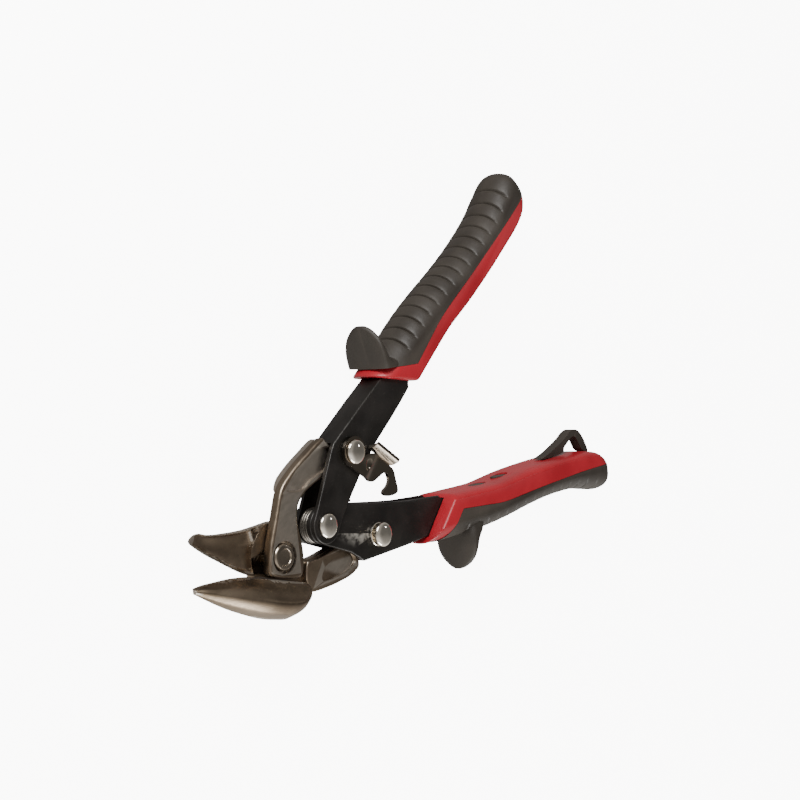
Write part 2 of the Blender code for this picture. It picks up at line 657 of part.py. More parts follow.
def make_latch(parent):
    """The latch plate: bent down past the flange, with a hook and a thumb tab."""
    outline = arc((0, 0), LATCH_END_R, LATCH_ARC) + LATCH_OUTLINE
    latch = plate("latch", outline, LATCH_Z[0], LATCH_Z[1], parent, CHROME)
    along = Vector((*LATCH_AXIS, 0.0)).normalized()
    shape = bmesh.new()
    shape.from_mesh(latch.data)
    for distance in LATCH_BEND:
        geometry = shape.verts[:] + shape.edges[:] + shape.faces[:]
        bmesh.ops.bisect_plane(shape, geom=geometry, dist=BEND_SLACK, plane_co=along * distance * MM,
                               plane_no=along)
    start, end = LATCH_BEND
    for vert in shape.verts:
        share = (vert.co.dot(along) / MM - start) / (end - start)
        vert.co.z -= LATCH_DROP * MM * max(0.0, min(1.0, share))
    bmesh.ops.recalc_face_normals(shape, faces=shape.faces)
    shape.to_mesh(latch.data)
    shape.free()
    combine(latch, make_tab(parent), "UNION")
    drill("latch_hole", latch, (0, 0), HOLE_R)


def make_tab(parent):
    """The lip that the thumb pushes, leaning outward along the latch's free edge."""
    start, end = Vector(TAB_FOOT[0]), Vector(TAB_FOOT[1])
    line = (end - start).normalized()
    out = Vector((-line.y, line.x))
    rings = []
    for height, lean in ((LATCH_Z[0] - TAB_SINK, 0.0), (TAB_TOP, TAB_LEAN)):
        corners = [start + out * lean, end + out * lean, end + out * (lean + TAB_THICK),
                   start + out * (lean + TAB_THICK)]
        rings.append([Vector((c.x, c.y, height)) * MM for c in corners])
    return loft("latch_tab", rings, parent)


def leg_angle(leg):
    """Where a leg leaves the coil, as an angle in its handle's own frame."""
    return math.atan2(leg[1], leg[0]) - math.acos(COIL_R / math.hypot(*leg))


def leg_end(leg):
    """A leg's end in plan from the fulcrum, as it is on the upper handle."""
    lift = math.radians(HANDLE_ANGLE)
    return (leg[0] * math.cos(lift) - leg[1] * math.sin(lift),
            leg[0] * math.sin(lift) + leg[1] * math.cos(lift))


def make_spring():
    """The torsion spring: a close coil, and two legs hooked on the flanges' inner edges."""
    lift = math.radians(HANDLE_ANGLE)
    upper, lower = HANDLES["upper"]["spring_leg"], HANDLES["lower"]["spring_leg"]
    first = lift + leg_angle(upper)
    last = -lift - leg_angle(lower) - COIL_TURNS * 2 * math.pi
    x, y = leg_end(upper)
    points = [(x, y, -COIL_HALF - LEG_HOOK), (x, y, -COIL_HALF)]
    turns = abs(last - first) / (2 * math.pi)
    steps = round(turns * COIL_POINTS)
    for step in range(steps + 1):
        angle = first + (last - first) * step / steps
        points.append((COIL_R * math.cos(angle), COIL_R * math.sin(angle),
                       -COIL_HALF + 2 * COIL_HALF * step / steps))
    x, y = leg_end(lower)
    points += [(x, -y, COIL_HALF), (x, -y, COIL_HALF + LEG_HOOK)]
    curve = bpy.data.curves.new("torsion_spring", "CURVE")
    curve.dimensions = "3D"
    curve.bevel_depth = WIRE_R * MM
    curve.bevel_resolution = 2
    curve.use_fill_caps = True
    spline = curve.splines.new("POLY")
    spline.points.add(len(points) - 1)
    for point, place in zip(spline.points, points):
        point.co = (*(Vector(place) * MM), 1.0)
    spring = bpy.data.objects.new("torsion_spring", curve)
    PARTS.objects.link(spring)
    curve.materials.append(DARK_STEEL)
    spring.parent = SNIPS
    spring.location = plan((FULCRUM_X, 0))


def make_handle(side, parent):
    make_frame(side, parent)
    make_core(side, parent)
    make_overmold(side, parent)
    make_inlays(side, parent)


def finish_parts():
    """Apply the modifiers, then shade smooth, with the edges that turn sharply kept sharp."""
    graph = bpy.context.evaluated_depsgraph_get()
    solids = [item for item in PARTS.objects if item.type == "MESH"]
    meshes = [bpy.data.meshes.new_from_object(item.evaluated_get(graph)) for item in solids]
    for item, mesh in zip(solids, meshes):
        item.modifiers.clear()
        item.data = mesh
        mesh.name = item.name
        mesh.shade_smooth()
        mesh.set_sharp_from_angle(angle=math.radians(SHARP_ANGLE))


remove_everything()
PARTS = make_collection("aviation_snips")
CUTTERS = make_collection("cutters")
FORGED = make_material("forged_steel", (0.34, 0.31, 0.27), roughness=0.38, metallic=1.0)
BLACK_STEEL = make_material("black_steel", (0.03, 0.028, 0.026), roughness=0.42, metallic=0.6)
CHROME = make_material("chrome", (0.72, 0.69, 0.64), roughness=0.12, metallic=1.0)
DARK_STEEL = make_material("dark_steel", (0.16, 0.15, 0.14), roughness=0.35, metallic=1.0)
RED_PLASTIC = make_material("red_plastic", (0.42, 0.02, 0.03), roughness=0.36, metallic=0.0)
BLACK_RUBBER = make_material("black_rubber", (0.045, 0.038, 0.032), roughness=0.6, metallic=0.0)

SNIPS = make_empty("snips", None, (PIVOT_X * MM, PIVOT_Y * MM, SHEAR_Z * MM))
bpy.context.view_layer.update()
FULCRUM = plan((FULCRUM_X, 0))
UPPER_AXIS = make_empty("upper_handle_axis", SNIPS, FULCRUM, HANDLE_ANGLE)
LOWER_AXIS = make_empty("lower_handle_axis", SNIPS, FULCRUM, -HANDLE_ANGLE, flipped=True)
LATCH_PIN = make_empty("latch_axis", SNIPS, plan(UPPER_RIVET))
bpy.context.view_layer.update()

make_near_blade()
make_far_blade()
make_pivot()
make_handle("upper", UPPER_AXIS)
make_handle("lower", LOWER_AXIS)
make_hang_loop(LOWER_AXIS)
make_rivet("fulcrum_rivet", (FULCRUM_X, 0), FULCRUM_SEATS, LOWER_AXIS)
make_rivet("upper_tail_rivet", UPPER_RIVET, UPPER_TAIL_SEATS, UPPER_AXIS)
make_rivet("lower_tail_rivet", LOWER_RIVET, LOWER_TAIL_SEATS, LOWER_AXIS, collar=LOWER_TAIL_COLLAR)
make_latch_washer()
make_latch(LATCH_PIN)
make_bush()
make_spring()
finish_parts()
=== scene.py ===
"""Studio view of open offset aviation snips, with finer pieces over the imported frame.

Shapes are drawn in millimetres round the pivot bolt and the shear plane, or in a
handle's own (along, outward, across) frame from the fulcrum, then turned into the
row frame in metres.
"""
import math

import bmesh
import bpy
from mathutils import Matrix, Vector


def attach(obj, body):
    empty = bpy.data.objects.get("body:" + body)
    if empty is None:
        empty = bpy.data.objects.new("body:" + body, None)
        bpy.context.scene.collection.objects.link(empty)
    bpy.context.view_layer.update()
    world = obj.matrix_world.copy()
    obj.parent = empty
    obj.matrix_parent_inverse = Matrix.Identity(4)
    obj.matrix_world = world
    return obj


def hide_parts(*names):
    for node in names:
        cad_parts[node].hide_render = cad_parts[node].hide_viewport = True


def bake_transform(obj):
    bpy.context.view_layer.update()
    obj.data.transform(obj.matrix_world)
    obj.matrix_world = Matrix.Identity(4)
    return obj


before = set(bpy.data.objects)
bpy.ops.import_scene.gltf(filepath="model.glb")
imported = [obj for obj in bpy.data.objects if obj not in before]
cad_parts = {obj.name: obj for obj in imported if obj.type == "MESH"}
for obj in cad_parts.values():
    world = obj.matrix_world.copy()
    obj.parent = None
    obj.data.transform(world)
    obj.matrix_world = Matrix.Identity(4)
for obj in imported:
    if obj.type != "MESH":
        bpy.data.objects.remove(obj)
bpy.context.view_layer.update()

MM = 0.001

# The linkage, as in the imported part
PIVOT_X = -70.10
SHEAR_Z = 10.4
FULCRUM_X = 21.95
HANDLE_ANGLE = math.radians(21.1)
TAIL = (48.3, math.radians(20.7))
UPPER_RIVET = (TAIL[0] * math.cos(TAIL[1]), TAIL[0] * math.sin(TAIL[1]))
LOWER_RIVET = (UPPER_RIVET[0], -UPPER_RIVET[1])

ROW = Matrix.Translation(Vector((PIVOT_X, 0.0, SHEAR_Z)) * MM)
FULCRUM = Matrix.Translation(Vector((FULCRUM_X, 0.0, 0.0)) * MM)
PLACES = {
    "row": ROW,
    "upper": ROW @ FULCRUM @ Matrix.Rotation(HANDLE_ANGLE, 4, "Z"),
    "lower": ROW @ FULCRUM @ Matrix.Rotation(-HANDLE_ANGLE, 4, "Z") @ Matrix.Rotation(math.pi, 4, "X"),
}

GAP = 0.3
SEAM = 0.12
SHEAR_GAP = 0.15
HOLE_STEPS = 56

# Blade outlines in plan, in millimetres from the pivot bolt
TAIL_END_R = 6.4
NEAR_OUTER = [(-9.5, -2.5), (-6.8, 2.4), (-3.7, 7.2), (1.7, 13.0), (4.9, 16.6), (8.0, 20.3), (11.4, 22.8),
              (20.0, 25.3), (28.0, 26.6), (34.0, 27.5), (36.4, 27.4), (37.1, 26.7), (39.0, 22.0)]
NEAR_INNER = [(34.0, 14.0), (29.5, 15.1), (20.2, 15.0), (16.7, 13.8), (14.0, 12.1), (11.7, 8.2), (10.8, 4.5),
              (10.3, 0.9), (9.4, -3.0), (7.3, -7.5), (3.9, -11.3)]
NEAR_PAD_OUTER = [(8.8, 20.6), (11.6, 22.5), (20.0, 25.0), (28.0, 26.3), (33.9, 27.2), (36.2, 27.1),
                  (36.8, 26.5), (38.7, 22.0)]
NEAR_PAD_INNER = [(34.0, 14.3), (29.5, 15.4), (20.2, 15.3), (16.5, 14.1), (14.4, 12.8)]
NEAR_PANEL = [(10.9, 19.6), (13.6, 21.7), (21.0, 23.1), (29.0, 24.3), (36.0, 24.9), (40.0, 20.0), (34.0, 16.6),
              (28.8, 16.9), (23.5, 17.2), (18.2, 15.7)]
BOSS_R = 12.4
HOLLOW = 1.7
HOLLOW_START = 5.8
POCKET_DIP = 2.4
FAR_INNER = [(10.6, -7.0), (13.0, -8.9), (17.0, -10.1), (24.6, -11.3), (33.0, -12.6)]
FAR_OUTER = [(35.0, -20.6), (34.0, -23.3), (33.3, -24.3), (28.2, -24.9), (19.5, -23.2), (11.0, -20.8),
             (5.0, -18.4), (0.0, -14.4)]
FAR_PAD_INNER = [(7.4, -13.2), (9.4, -9.9), (11.0, -8.2), (13.1, -9.2), (17.0, -10.4), (24.6, -11.6),
                 (33.0, -12.9)]
FAR_PAD_OUTER = [(34.8, -20.6), (33.8, -23.1), (33.1, -24.0), (28.2, -24.6), (19.5, -22.9), (11.4, -20.6),
                 (6.7, -18.7)]
FAR_PANEL = [(13.4, -18.6), (16.8, -14.2), (25.8, -14.6), (32.0, -15.6), (33.2, -19.4), (31.9, -21.6),
             (26.0, -21.9), (20.0, -20.6)]

# Jaw stations: distance out from the pivot, then depths and heights as in the part
NEAR_JAW_ANGLE = 163.8
NEAR_JAW = [
    (-9.5, 11.6, 11.7, 12.1, 12.9, 13.7, 3.4, 4.2, 5.0, 3.0),
    (-8.2, 11.0, 11.2, 12.5, 14.1, 15.4, 3.6, 5.2, 6.6, 3.0),
    (-6.0, 10.3, 10.5, 12.8, 15.2, 17.7, 3.9, 6.2, 8.4, 3.2),
    (-2.0, 8.8, 9.2, 12.4, 16.0, 20.3, 4.0, 7.0, 9.8, 3.5),
    (3.0, 7.0, 7.4, 11.3, 15.6, 21.2, 4.0, 7.4, 10.3, 3.6),
    (8.5, 4.9, 5.6, 9.5, 14.2, 20.0, 3.4, 7.5, 10.4, 3.6),
    (16.0, 2.8, 3.4, 6.8, 11.5, 17.5, 1.2, 7.4, 10.2, 3.5),
    (24.0, 1.3, 1.8, 4.7, 8.6, 13.6, 0.9, 6.7, 9.0, 3.2),
    (31.0, 0.6, 1.0, 3.0, 5.7, 9.6, 0.8, 5.2, 6.8, 2.6),
    (37.0, 0.1, 0.4, 1.5, 3.1, 5.4, 0.7, 3.2, 4.0, 1.8),
    (41.0, 0.2, 0.4, 0.8, 1.5, 2.4, 0.5, 1.3, 1.7, 1.0),
]
FAR_JAW_ANGLE = 143.8
FAR_JAW = [
    (-2.0, -6.0, -5.7, -2.0, 4.0, 11.0, 3.4, 6.0, 8.0, 1.5),
    (5.3, -7.0, -6.6, -2.6, 3.6, 11.6, 2.4, 7.0, 10.0, 1.5),
    (11.7, -7.6, -7.1, -3.4, 2.4, 9.6, 1.1, 7.4, 10.4, 1.5),
    (18.2, -6.8, -6.3, -3.4, 1.2, 7.4, 0.9, 7.2, 10.0, 1.5),
    (27.6, -4.4, -4.0, -2.0, 1.2, 5.2, 0.8, 5.6, 7.4, 1.4),
    (33.2, -2.9, -2.5, -1.0, 1.2, 4.3, 0.7, 4.2, 5.4, 1.2),
    (37.2, -1.6, -1.3, -0.3, 1.2, 4.3, 0.6, 3.0, 3.8, 1.0),
    (39.9, -0.6, -0.4, 0.2, 1.4, 3.5, 0.5, 1.9, 2.4, 0.8),
    (41.5, 0.2, 0.3, 0.7, 1.3, 2.1, 0.4, 0.9, 1.2, 0.6),
]

# Handle pressing and grips, in a handle's own frame
FLANGE_WIDE = (4.3, 6.0)
FLANGE_NARROW = (-4.0, -2.3)
WEB_THICK = 1.5
FLANGE_END_R = 6.6
WEB_OUTER = [(122.0, 7.6), (75.0, 11.6), (57.0, 12.8), (46.0, 14.2)]
TAIL_RIVET_LOCAL = (27.72, 7.56)
GRIP_INNER = [(50, -1.3), (76, -1.4), (90, -1.5), (98, -1.9), (112, -3.8), (129, -5.2), (147, -6.0),
              (155, -6.1), (159.5, -5.6), (163, -4.4), (166, -2.4), (168.6, 0.0), (170.4, 2.4), (171.3, 4.2)]
GRIP_OUTER = [(50, 16.3), (62, 16.1), (75, 15.6), (90, 14.9), (104, 13.2), (117, 11.0), (130, 9.3),
              (144, 8.6), (152, 9.0), (160, 10.4), (165.5, 11.1), (169.2, 10.2), (171.3, 8.0)]
GRIP_HALF = [(50, 10.9), (100, 10.9), (140, 10.8), (157, 10.7), (163.5, 10.2), (167.5, 8.8), (170.1, 6.2),
             (171.3, 3.8)]
GRIP_FLAT = 10.4
GRIP_RING = 120
INNER_POWER = 0.42
OUTER_POWER = 0.9
COLOUR_LINE = [(74.0, 4.5), (85.0, 5.2), (95.0, 5.6), (107.0, 4.7), (120.0, 3.3), (133.0, 2.2),
               (146.0, 1.2), (160.0, 0.5), (180.0, 0.0)]
COLLAR_DEPTH = 15.5
GUARD_LEVELS = [(10.0, 12.0, 9.2), (14.0, 9.5, 9.9), (17.0, 6.5, 9.9), (20.5, 4.6, 9.6), (24.0, 3.6, 8.3),
                (26.6, 3.0, 6.0), (28.3, 2.2, 3.4), (29.0, 1.2, 1.4)]
INLAY_PLACES = {"front": 92.0, "rear": 106.0}
GROOVES = 15
GROOVE_FIRST = 76.0
GROOVE_STEP = 6.0
GROOVE_DEPTH = 0.7
GROOVE_HALF = 0.36
GROOVE_BOW = 2.2
HANDLES = {
    "upper": {
        "front_edge": [(24.4, 16.3), (21.8, 15.6), (13.1, 12.2), (4.5, 8.6)],
        "web_front": 24.4,
        "flange_inner": [(7.0, -4.6), (13.0, -3.5), (25.0, -1.7), (38.0, -0.6), (52.0, -1.2), (60.0, -1.3),
                         (66.4, -1.2), (67.6, 0.2), (122.0, 0.2)],
        "spring_leg": (15.0, -4.2),
        "collar_front": (68.5, 56.5),
        "band_inner": 73.0,
        "band_outer": 60.5,
        "guard_root": 60.1,
        "guard_tip": 68.4,
    },
    "lower": {
        "front_edge": [(20.0, 16.2), (17.6, 14.4), (13.4, 11.8), (4.5, 8.6)],
        "web_front": 20.0,
        "flange_inner": [(4.5, -6.6), (14.0, -5.9), (22.7, -4.6), (31.0, -3.6), (39.0, -2.7), (47.5, -1.9),
                         (56.0, -1.5), (64.4, -1.2), (65.6, 0.2), (122.0, 0.2)],
        "spring_leg": (15.0, -6.7),
        "collar_front": (66.5, 54.0),
        "band_inner": 70.5,
        "band_outer": 61.0,
        "guard_root": 75.2,
        "guard_tip": 76.2,
    },
}
LOOP_HALF = 2.2
LOOP_OUTLINE = [(129.4, -5.6), (137.0, -7.5), (147.6, -12.0), (151.1, -14.4), (154.4, -15.4), (157.3, -14.9),
                (159.6, -12.9), (162.0, -9.4), (164.2, -4.4), (159.4, -6.0), (158.0, -8.6), (156.2, -11.4),
                (154.6, -12.6), (152.4, -12.1), (149.4, -9.9), (147.2, -8.6), (147.2, -6.4)]

# Latch, spring and round fastenings
LATCH_Z = (6.7, 7.9)
LATCH_DROP = 1.4
LATCH_BEND = (8.6, 14.0)
LATCH_AXIS = (0.49, -0.87)
LATCH_END_R = 5.6
LATCH_OUTLINE = [(-4.6, -4.0), (-1.0, -8.5), (2.8, -13.6), (4.0, -14.7), (5.6, -15.1), (7.6, -15.0),
                 (11.4, -14.8), (12.6, -15.6), (12.9, -17.0), (12.5, -18.9), (10.5, -20.2), (7.9, -20.4),
                 (7.2, -21.7), (9.2, -23.7), (14.1, -25.2), (15.5, -24.3), (16.0, -20.4), (16.8, -16.7),
                 (15.5, -14.3), (8.4, -3.4)]
TAB_FOOT = ((8.1, -3.0), (15.3, -14.1))
TAB_THICK = 1.2
TAB_TOP = 10.4
TAB_LEAN = 1.6
WIRE_R = 0.55
COIL_R = 6.0
COIL_HALF = 1.5
LEG_HOOK = 2.2


# ---------------------------------------------------------------- shape helpers
def smooth_value(table, at, column=1):
    """A smooth curve through a table's rows, read at a place."""
    if at <= table[0][0]:
        return table[0][column]
    if at >= table[-1][0]:
        return table[-1][column]
    index = max(i for i in range(len(table) - 1) if table[i][0] <= at)
    slopes = []
    for i in (index, index + 1):
        low = table[max(i - 1, 0)]
        high = table[min(i + 1, len(table) - 1)]
        slopes.append((high[column] - low[column]) / (high[0] - low[0]))
    start, end = table[index], table[index + 1]
    span = end[0] - start[0]
    f = (at - start[0]) / span
    return (start[column] * (1 + 2 * f) * (1 - f) ** 2 + slopes[0] * span * f * (1 - f) ** 2
            + end[column] * f * f * (3 - 2 * f) - slopes[1] * span * f * f * (1 - f))


def arc(centre, radius, start, end, steps):
    points = []
    for step in range(steps + 1):
        angle = math.radians(start + (end - start) * step / steps)
        points.append((centre[0] + radius * math.cos(angle), centre[1] + radius * math.sin(angle)))
    return points


def rounded(points, rounds=2, share=0.22):
    """A closed outline with its corners cut back, twice by default."""
    for _ in range(rounds):
        cut = []
        for a, b in zip(points, points[1:] + points[:1]):
            cut.append((a[0] + (b[0] - a[0]) * share, a[1] + (b[1] - a[1]) * share))
            cut.append((b[0] + (a[0] - b[0]) * share, b[1] + (a[1] - b[1]) * share))
        points = cut
    return points


def spline_points(points, per_step=4):
    """An open smooth curve through tuples of any length."""
    result = []
    for i in range(len(points) - 1):
        p0 = points[max(i - 1, 0)]
        p1, p2 = points[i], points[i + 1]
        p3 = points[min(i + 2, len(points) - 1)]
        for step in range(per_step):
            t = step / per_step
            row = []
            for a, b, c, d in zip(p0, p1, p2, p3):
                row.append(0.5 * (2 * b + (c - a) * t + (2 * a - 5 * b + 4 * c - d) * t * t
                                  + (3 * b - a - 3 * c + d) * t ** 3))
            result.append(tuple(row))
    result.append(tuple(points[-1]))
    return result


def link(mesh, name):
    item = bpy.data.objects.new(name, mesh)
    bpy.context.scene.collection.objects.link(item)
    return item


def drop(item):
    bpy.data.objects.remove(item, do_unlink=True)


def plate(outline, low, high, name="cutter", bevel=0.0):
    """A flat outline extruded between two heights, in local metres."""
    shape = bmesh.new()
    floor = [shape.verts.new(Vector((x, y, low)) * MM) for x, y in outline]
    base = shape.faces.new(floor)
    lifted = bmesh.ops.extrude_face_region(shape, geom=[base])
    tops = [v for v in lifted["geom"] if isinstance(v, bmesh.types.BMVert)]
    bmesh.ops.translate(shape, verts=tops, vec=Vector((0.0, 0.0, (high - low) * MM)))
    bmesh.ops.recalc_face_normals(shape, faces=shape.faces)
    mesh = bpy.data.meshes.new(name)
    shape.to_mesh(mesh)
    shape.free()
    item = link(mesh, name)
    if bevel:
        add_bevel(item, bevel, 3)
    return item


def add_bevel(item, width, segments=3, angle=30.0):
    modifier = item.modifiers.new("edge", "BEVEL")
    modifier.width = width * MM
    modifier.segments = segments
    modifier.limit_method = "ANGLE"
    modifier.angle_limit = math.radians(angle)
    modifier.use_clamp_overlap = True
    return modifier


def loft(rings, name="loft"):
    shape = bmesh.new()
    rows = [[shape.verts.new(point) for point in ring] for ring in rings]
    count = len(rows[0])
    for first, second in zip(rows, rows[1:]):
        for i in range(count):
            j = (i + 1) % count
            shape.faces.new((first[i], first[j], second[j], second[i]))
    shape.faces.new(rows[0])
    shape.faces.new(rows[-1])
    bmesh.ops.recalc_face_normals(shape, faces=shape.faces)
    mesh = bpy.data.meshes.new(name)
    shape.to_mesh(mesh)
    shape.free()
    return link(mesh, name)


def combine(target, tool, operation):
    modifier = target.modifiers.new("join", "BOOLEAN")
    modifier.operation = operation
    modifier.solver = "EXACT"
    modifier.object = tool
    settle(target)
    drop(tool)


def settle(item):
    """Turn an object's modifiers into its mesh."""
    mesh = bpy.data.meshes.new_from_object(item.evaluated_get(bpy.context.evaluated_depsgraph_get()))
    item.modifiers.clear()
    item.data = mesh


def drill(target, place, radius, low, high, chamfer=0.0):
    tool = plate(arc(place, radius, 0, 360 - 360 / HOLE_STEPS, HOLE_STEPS - 1), low, high)
    combine(target, tool, "DIFFERENCE")


def clean(item):
    """Merge the slivers that solid cuts leave, before edges are rounded."""
    shape = bmesh.new()
    shape.from_mesh(item.data)
    bmesh.ops.remove_doubles(shape, verts=shape.verts, dist=0.00002)
    bmesh.ops.dissolve_degenerate(shape, edges=shape.edges, dist=0.00002)
    bmesh.ops.dissolve_limit(shape, angle_limit=math.radians(1.0), verts=shape.verts, edges=shape.edges)
    bmesh.ops.recalc_face_normals(shape, faces=shape.faces)
    shape.to_mesh(item.data)
    shape.free()


def place(item, name, where, material, body, nodes, slot, angle=35.0):
    """Turn a finished local shape into the row frame and tie it to its body and nodes."""
    item.name = name
    item.data.transform(PLACES[where])
    item.data.materials.clear()
    item.data.materials.append(material)
    item.data.shade_smooth()
    item.data.set_sharp_from_angle(angle=math.radians(angle))
    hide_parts(*nodes)
    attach(item, body)
    return item


def turned(profile, name, steps=64):
    """A solid of revolution about Z from (radius, height) points."""
    rings = []
    for i in range(steps):
        angle = 2 * math.pi * i / steps
        rings.append([Vector((r * math.cos(angle), r * math.sin(angle), h)) * MM for r, h in profile])
    shape = bmesh.new()
    rows = [[shape.verts.new(point) for point in ring] for ring in rings]
    closed = profile[0][0] > 0.0
    count = len(profile)
    for i in range(steps):
        first, second = rows[i], rows[(i + 1) % steps]
        for j in range(count if closed else count - 1):
            k = (j + 1) % count
            shape.faces.new((first[j], first[k], second[k], second[j]))
    bmesh.ops.remove_doubles(shape, verts=shape.verts, dist=0.000001)
    bmesh.ops.dissolve_degenerate(shape, edges=shape.edges, dist=0.000001)
    bmesh.ops.recalc_face_normals(shape, faces=shape.faces)
    mesh = bpy.data.meshes.new(name)
    shape.to_mesh(mesh)
    shape.free()
    return link(mesh, name)


def signed_power(value, power):
    return math.copysign(abs(value) ** power, value)


# ------------------------------------------------------------------- materials
class Shader:
    """A small helper that builds a node material step by step."""

    def __init__(self, name, base, roughness, metallic):
        self.material = bpy.data.materials.new(name)
        self.material.use_nodes = True
        self.tree = self.material.node_tree
        self.main = self.tree.nodes["Principled BSDF"]
        self.main.inputs["Base Color"].default_value = (*base, 1.0)
        self.main.inputs["Roughness"].default_value = roughness
        self.main.inputs["Metallic"].default_value = metallic
        self.where = self.tree.nodes.new("ShaderNodeTexCoord").outputs["Object"]

    def put(self, socket, value):
        if isinstance(value, bpy.types.NodeSocket):
            self.tree.links.new(value, socket)
        else:
            socket.default_value = value

    def scaled(self, stretch, turn=(0.0, 0.0, 0.0)):
        node = self.tree.nodes.new("ShaderNodeMapping")
        self.put(node.inputs["Vector"], self.where)
        node.inputs["Scale"].default_value = stretch
        node.inputs["Rotation"].default_value = turn
        return node.outputs["Vector"]

    def noise(self, scale, detail=4.0, roughness=0.55, vector=None):
        node = self.tree.nodes.new("ShaderNodeTexNoise")
        self.put(node.inputs["Vector"], vector or self.where)
        node.inputs["Scale"].default_value = scale
        node.inputs["Detail"].default_value = detail
        node.inputs["Roughness"].default_value = roughness
        return node.outputs["Fac"]

    def cells(self, scale, vector=None):
        node = self.tree.nodes.new("ShaderNodeTexVoronoi")
        self.put(node.inputs["Vector"], vector or self.where)
        node.inputs["Scale"].default_value = scale
        return node.outputs["Distance"]

    def ramp(self, value, low, high, out_low=0.0, out_high=1.0):
        node = self.tree.nodes.new("ShaderNodeMapRange")
        self.put(node.inputs["Value"], value)
        node.inputs["From Min"].default_value = low
        node.inputs["From Max"].default_value = high
        node.inputs["To Min"].default_value = out_low
        node.inputs["To Max"].default_value = out_high
        node.interpolation_type = "SMOOTHSTEP"
        return node.outputs["Result"]

    def maths(self, operation, first, second):
        node = self.tree.nodes.new("ShaderNodeMath")
        node.operation = operation
        self.put(node.inputs[0], first)
        self.put(node.inputs[1], second)
        return node.outputs["Value"]

    def mix(self, share, first, second):
        node = self.tree.nodes.new("ShaderNodeMix")
        node.data_type = "RGBA"
        self.put(node.inputs["Factor"], share)
        for key, value in (("A", first), ("B", second)):
            socket = [s for s in node.inputs if s.name == key and s.type == "RGBA"][0]
            self.put(socket, value if isinstance(value, bpy.types.NodeSocket) else (*value, 1.0))
        return [s for s in node.outputs if s.type == "RGBA"][0]

    def edge(self, low, high):
        """1 on outer edges, from how far the surface bulges there."""
        node = self.tree.nodes.new("ShaderNodeNewGeometry")
        return self.ramp(node.outputs["Pointiness"], low, high)

    def bump(self, height, strength, distance, under=None):
        node = self.tree.nodes.new("ShaderNodeBump")
        node.inputs["Strength"].default_value = strength
        node.inputs["Distance"].default_value = distance
        self.put(node.inputs["Height"], height)
        if under:
            self.put(node.inputs["Normal"], under)
        return node.outputs["Normal"]

    def finish(self, colour=None, roughness=None, normal=None):
        for key, value in (("Base Color", colour), ("Roughness", roughness), ("Normal", normal)):
            if value is not None:
                self.put(self.main.inputs[key], value)
        return self.material


def steel(name, dark, light, rough, grind_turn):
    """Forged and ground steel: mottled tone, fine grind lines, pits and a painted highlight along the edges."""
    s = Shader(name, light, rough, 1.0)
    patches = s.ramp(s.noise(55.0, 5.0), 0.35, 0.68)
    lines = s.noise(260.0, 3.0, vector=s.scaled((1.0, 14.0, 1.0), (0.0, 0.0, grind_turn)))
    pits = s.ramp(s.noise(1500.0, 2.0), 0.66, 0.74)
    tone = s.mix(patches, dark, light)
    tone = s.mix(s.maths("MULTIPLY", pits, 0.45), tone, (0.05, 0.045, 0.04))
    # Painted highlight: edges where the surface bulges are lightened towards a pale steel colour.
    tone = s.mix(s.maths("MULTIPLY", s.edge(0.52, 0.60), 0.55), tone, (0.66, 0.61, 0.54))
    shine = s.maths("ADD", s.ramp(lines, 0.3, 0.7, rough - 0.05, rough + 0.08),
                    s.maths("MULTIPLY", pits, 0.2))
    normal = s.bump(lines, 0.10, 0.0002)
    normal = s.bump(s.noise(700.0, 4.0), 0.16, 0.0003, normal)
    return s.finish(tone, shine, normal)


def oxide(name):
    """Black oxide sheet: soft satin, faint scuffs, edges worn to bare metal, which also serve as a painted
    highlight.
    """
    s = Shader(name, (0.022, 0.019, 0.017), 0.38, 0.35)
    cloud = s.noise(70.0, 4.0)
    tone = s.mix(s.ramp(cloud, 0.35, 0.7), (0.009, 0.0075, 0.0065), (0.018, 0.015, 0.013))
    scuffs = s.ramp(s.noise(420.0, 6.0, 0.65, s.scaled((1.0, 6.0, 1.0), (0.0, 0.0, 0.5))), 0.60, 0.72)
    tone = s.mix(s.maths("MULTIPLY", scuffs, 0.10), tone, (0.30, 0.28, 0.25))
    # Patches of bare metal along the edges; this lightening is also a painted highlight on the edges.
    worn_edge_and_highlight = s.maths("MULTIPLY", s.edge(0.53, 0.62), s.ramp(s.noise(350.0, 3.0), 0.35, 0.6))
    tone = s.mix(s.maths("MULTIPLY", worn_edge_and_highlight, 0.7), tone, (0.42, 0.40, 0.36))
    shine = s.ramp(cloud, 0.3, 0.7, 0.33, 0.46)
    return s.finish(tone, shine, s.bump(s.noise(1700.0, 3.0), 0.14, 0.0002))


def polished(name, tone, rough):
    """Nickel plate with faint swirl marks and specks."""
    s = Shader(name, tone, rough, 1.0)
    cloud = s.noise(300.0, 4.0)
    colour = s.mix(s.ramp(cloud, 0.4, 0.75), tone, tuple(c * 0.80 for c in tone))
    specks = s.ramp(s.noise(2600.0, 2.0), 0.70, 0.76)
    colour = s.mix(s.maths("MULTIPLY", specks, 0.5), colour, (0.08, 0.07, 0.06))
    return s.finish(colour, s.ramp(cloud, 0.3, 0.8, rough * 0.7, rough * 1.6), s.bump(cloud, 0.05, 0.0002))


def plastic(name):
    """Satin red plastic, slightly uneven, with a fine moulded grain and small scuffs."""
    s = Shader(name, (0.42, 0.018, 0.028), 0.34, 0.0)
    cloud = s.noise(45.0, 3.0)
    tone = s.mix(s.ramp(cloud, 0.35, 0.7), (0.32, 0.0075, 0.015), (0.41, 0.011, 0.021))
    scuffs = s.ramp(s.noise(380.0, 6.0, 0.7), 0.63, 0.72)
    tone = s.mix(s.maths("MULTIPLY", scuffs, 0.15), tone, (0.55, 0.16, 0.14))
    shine = s.maths("ADD", s.ramp(cloud, 0.3, 0.7, 0.30, 0.38), s.maths("MULTIPLY", scuffs, 0.15))
    return s.finish(tone, shine, s.bump(s.noise(1500.0, 3.0), 0.10, 0.00015))


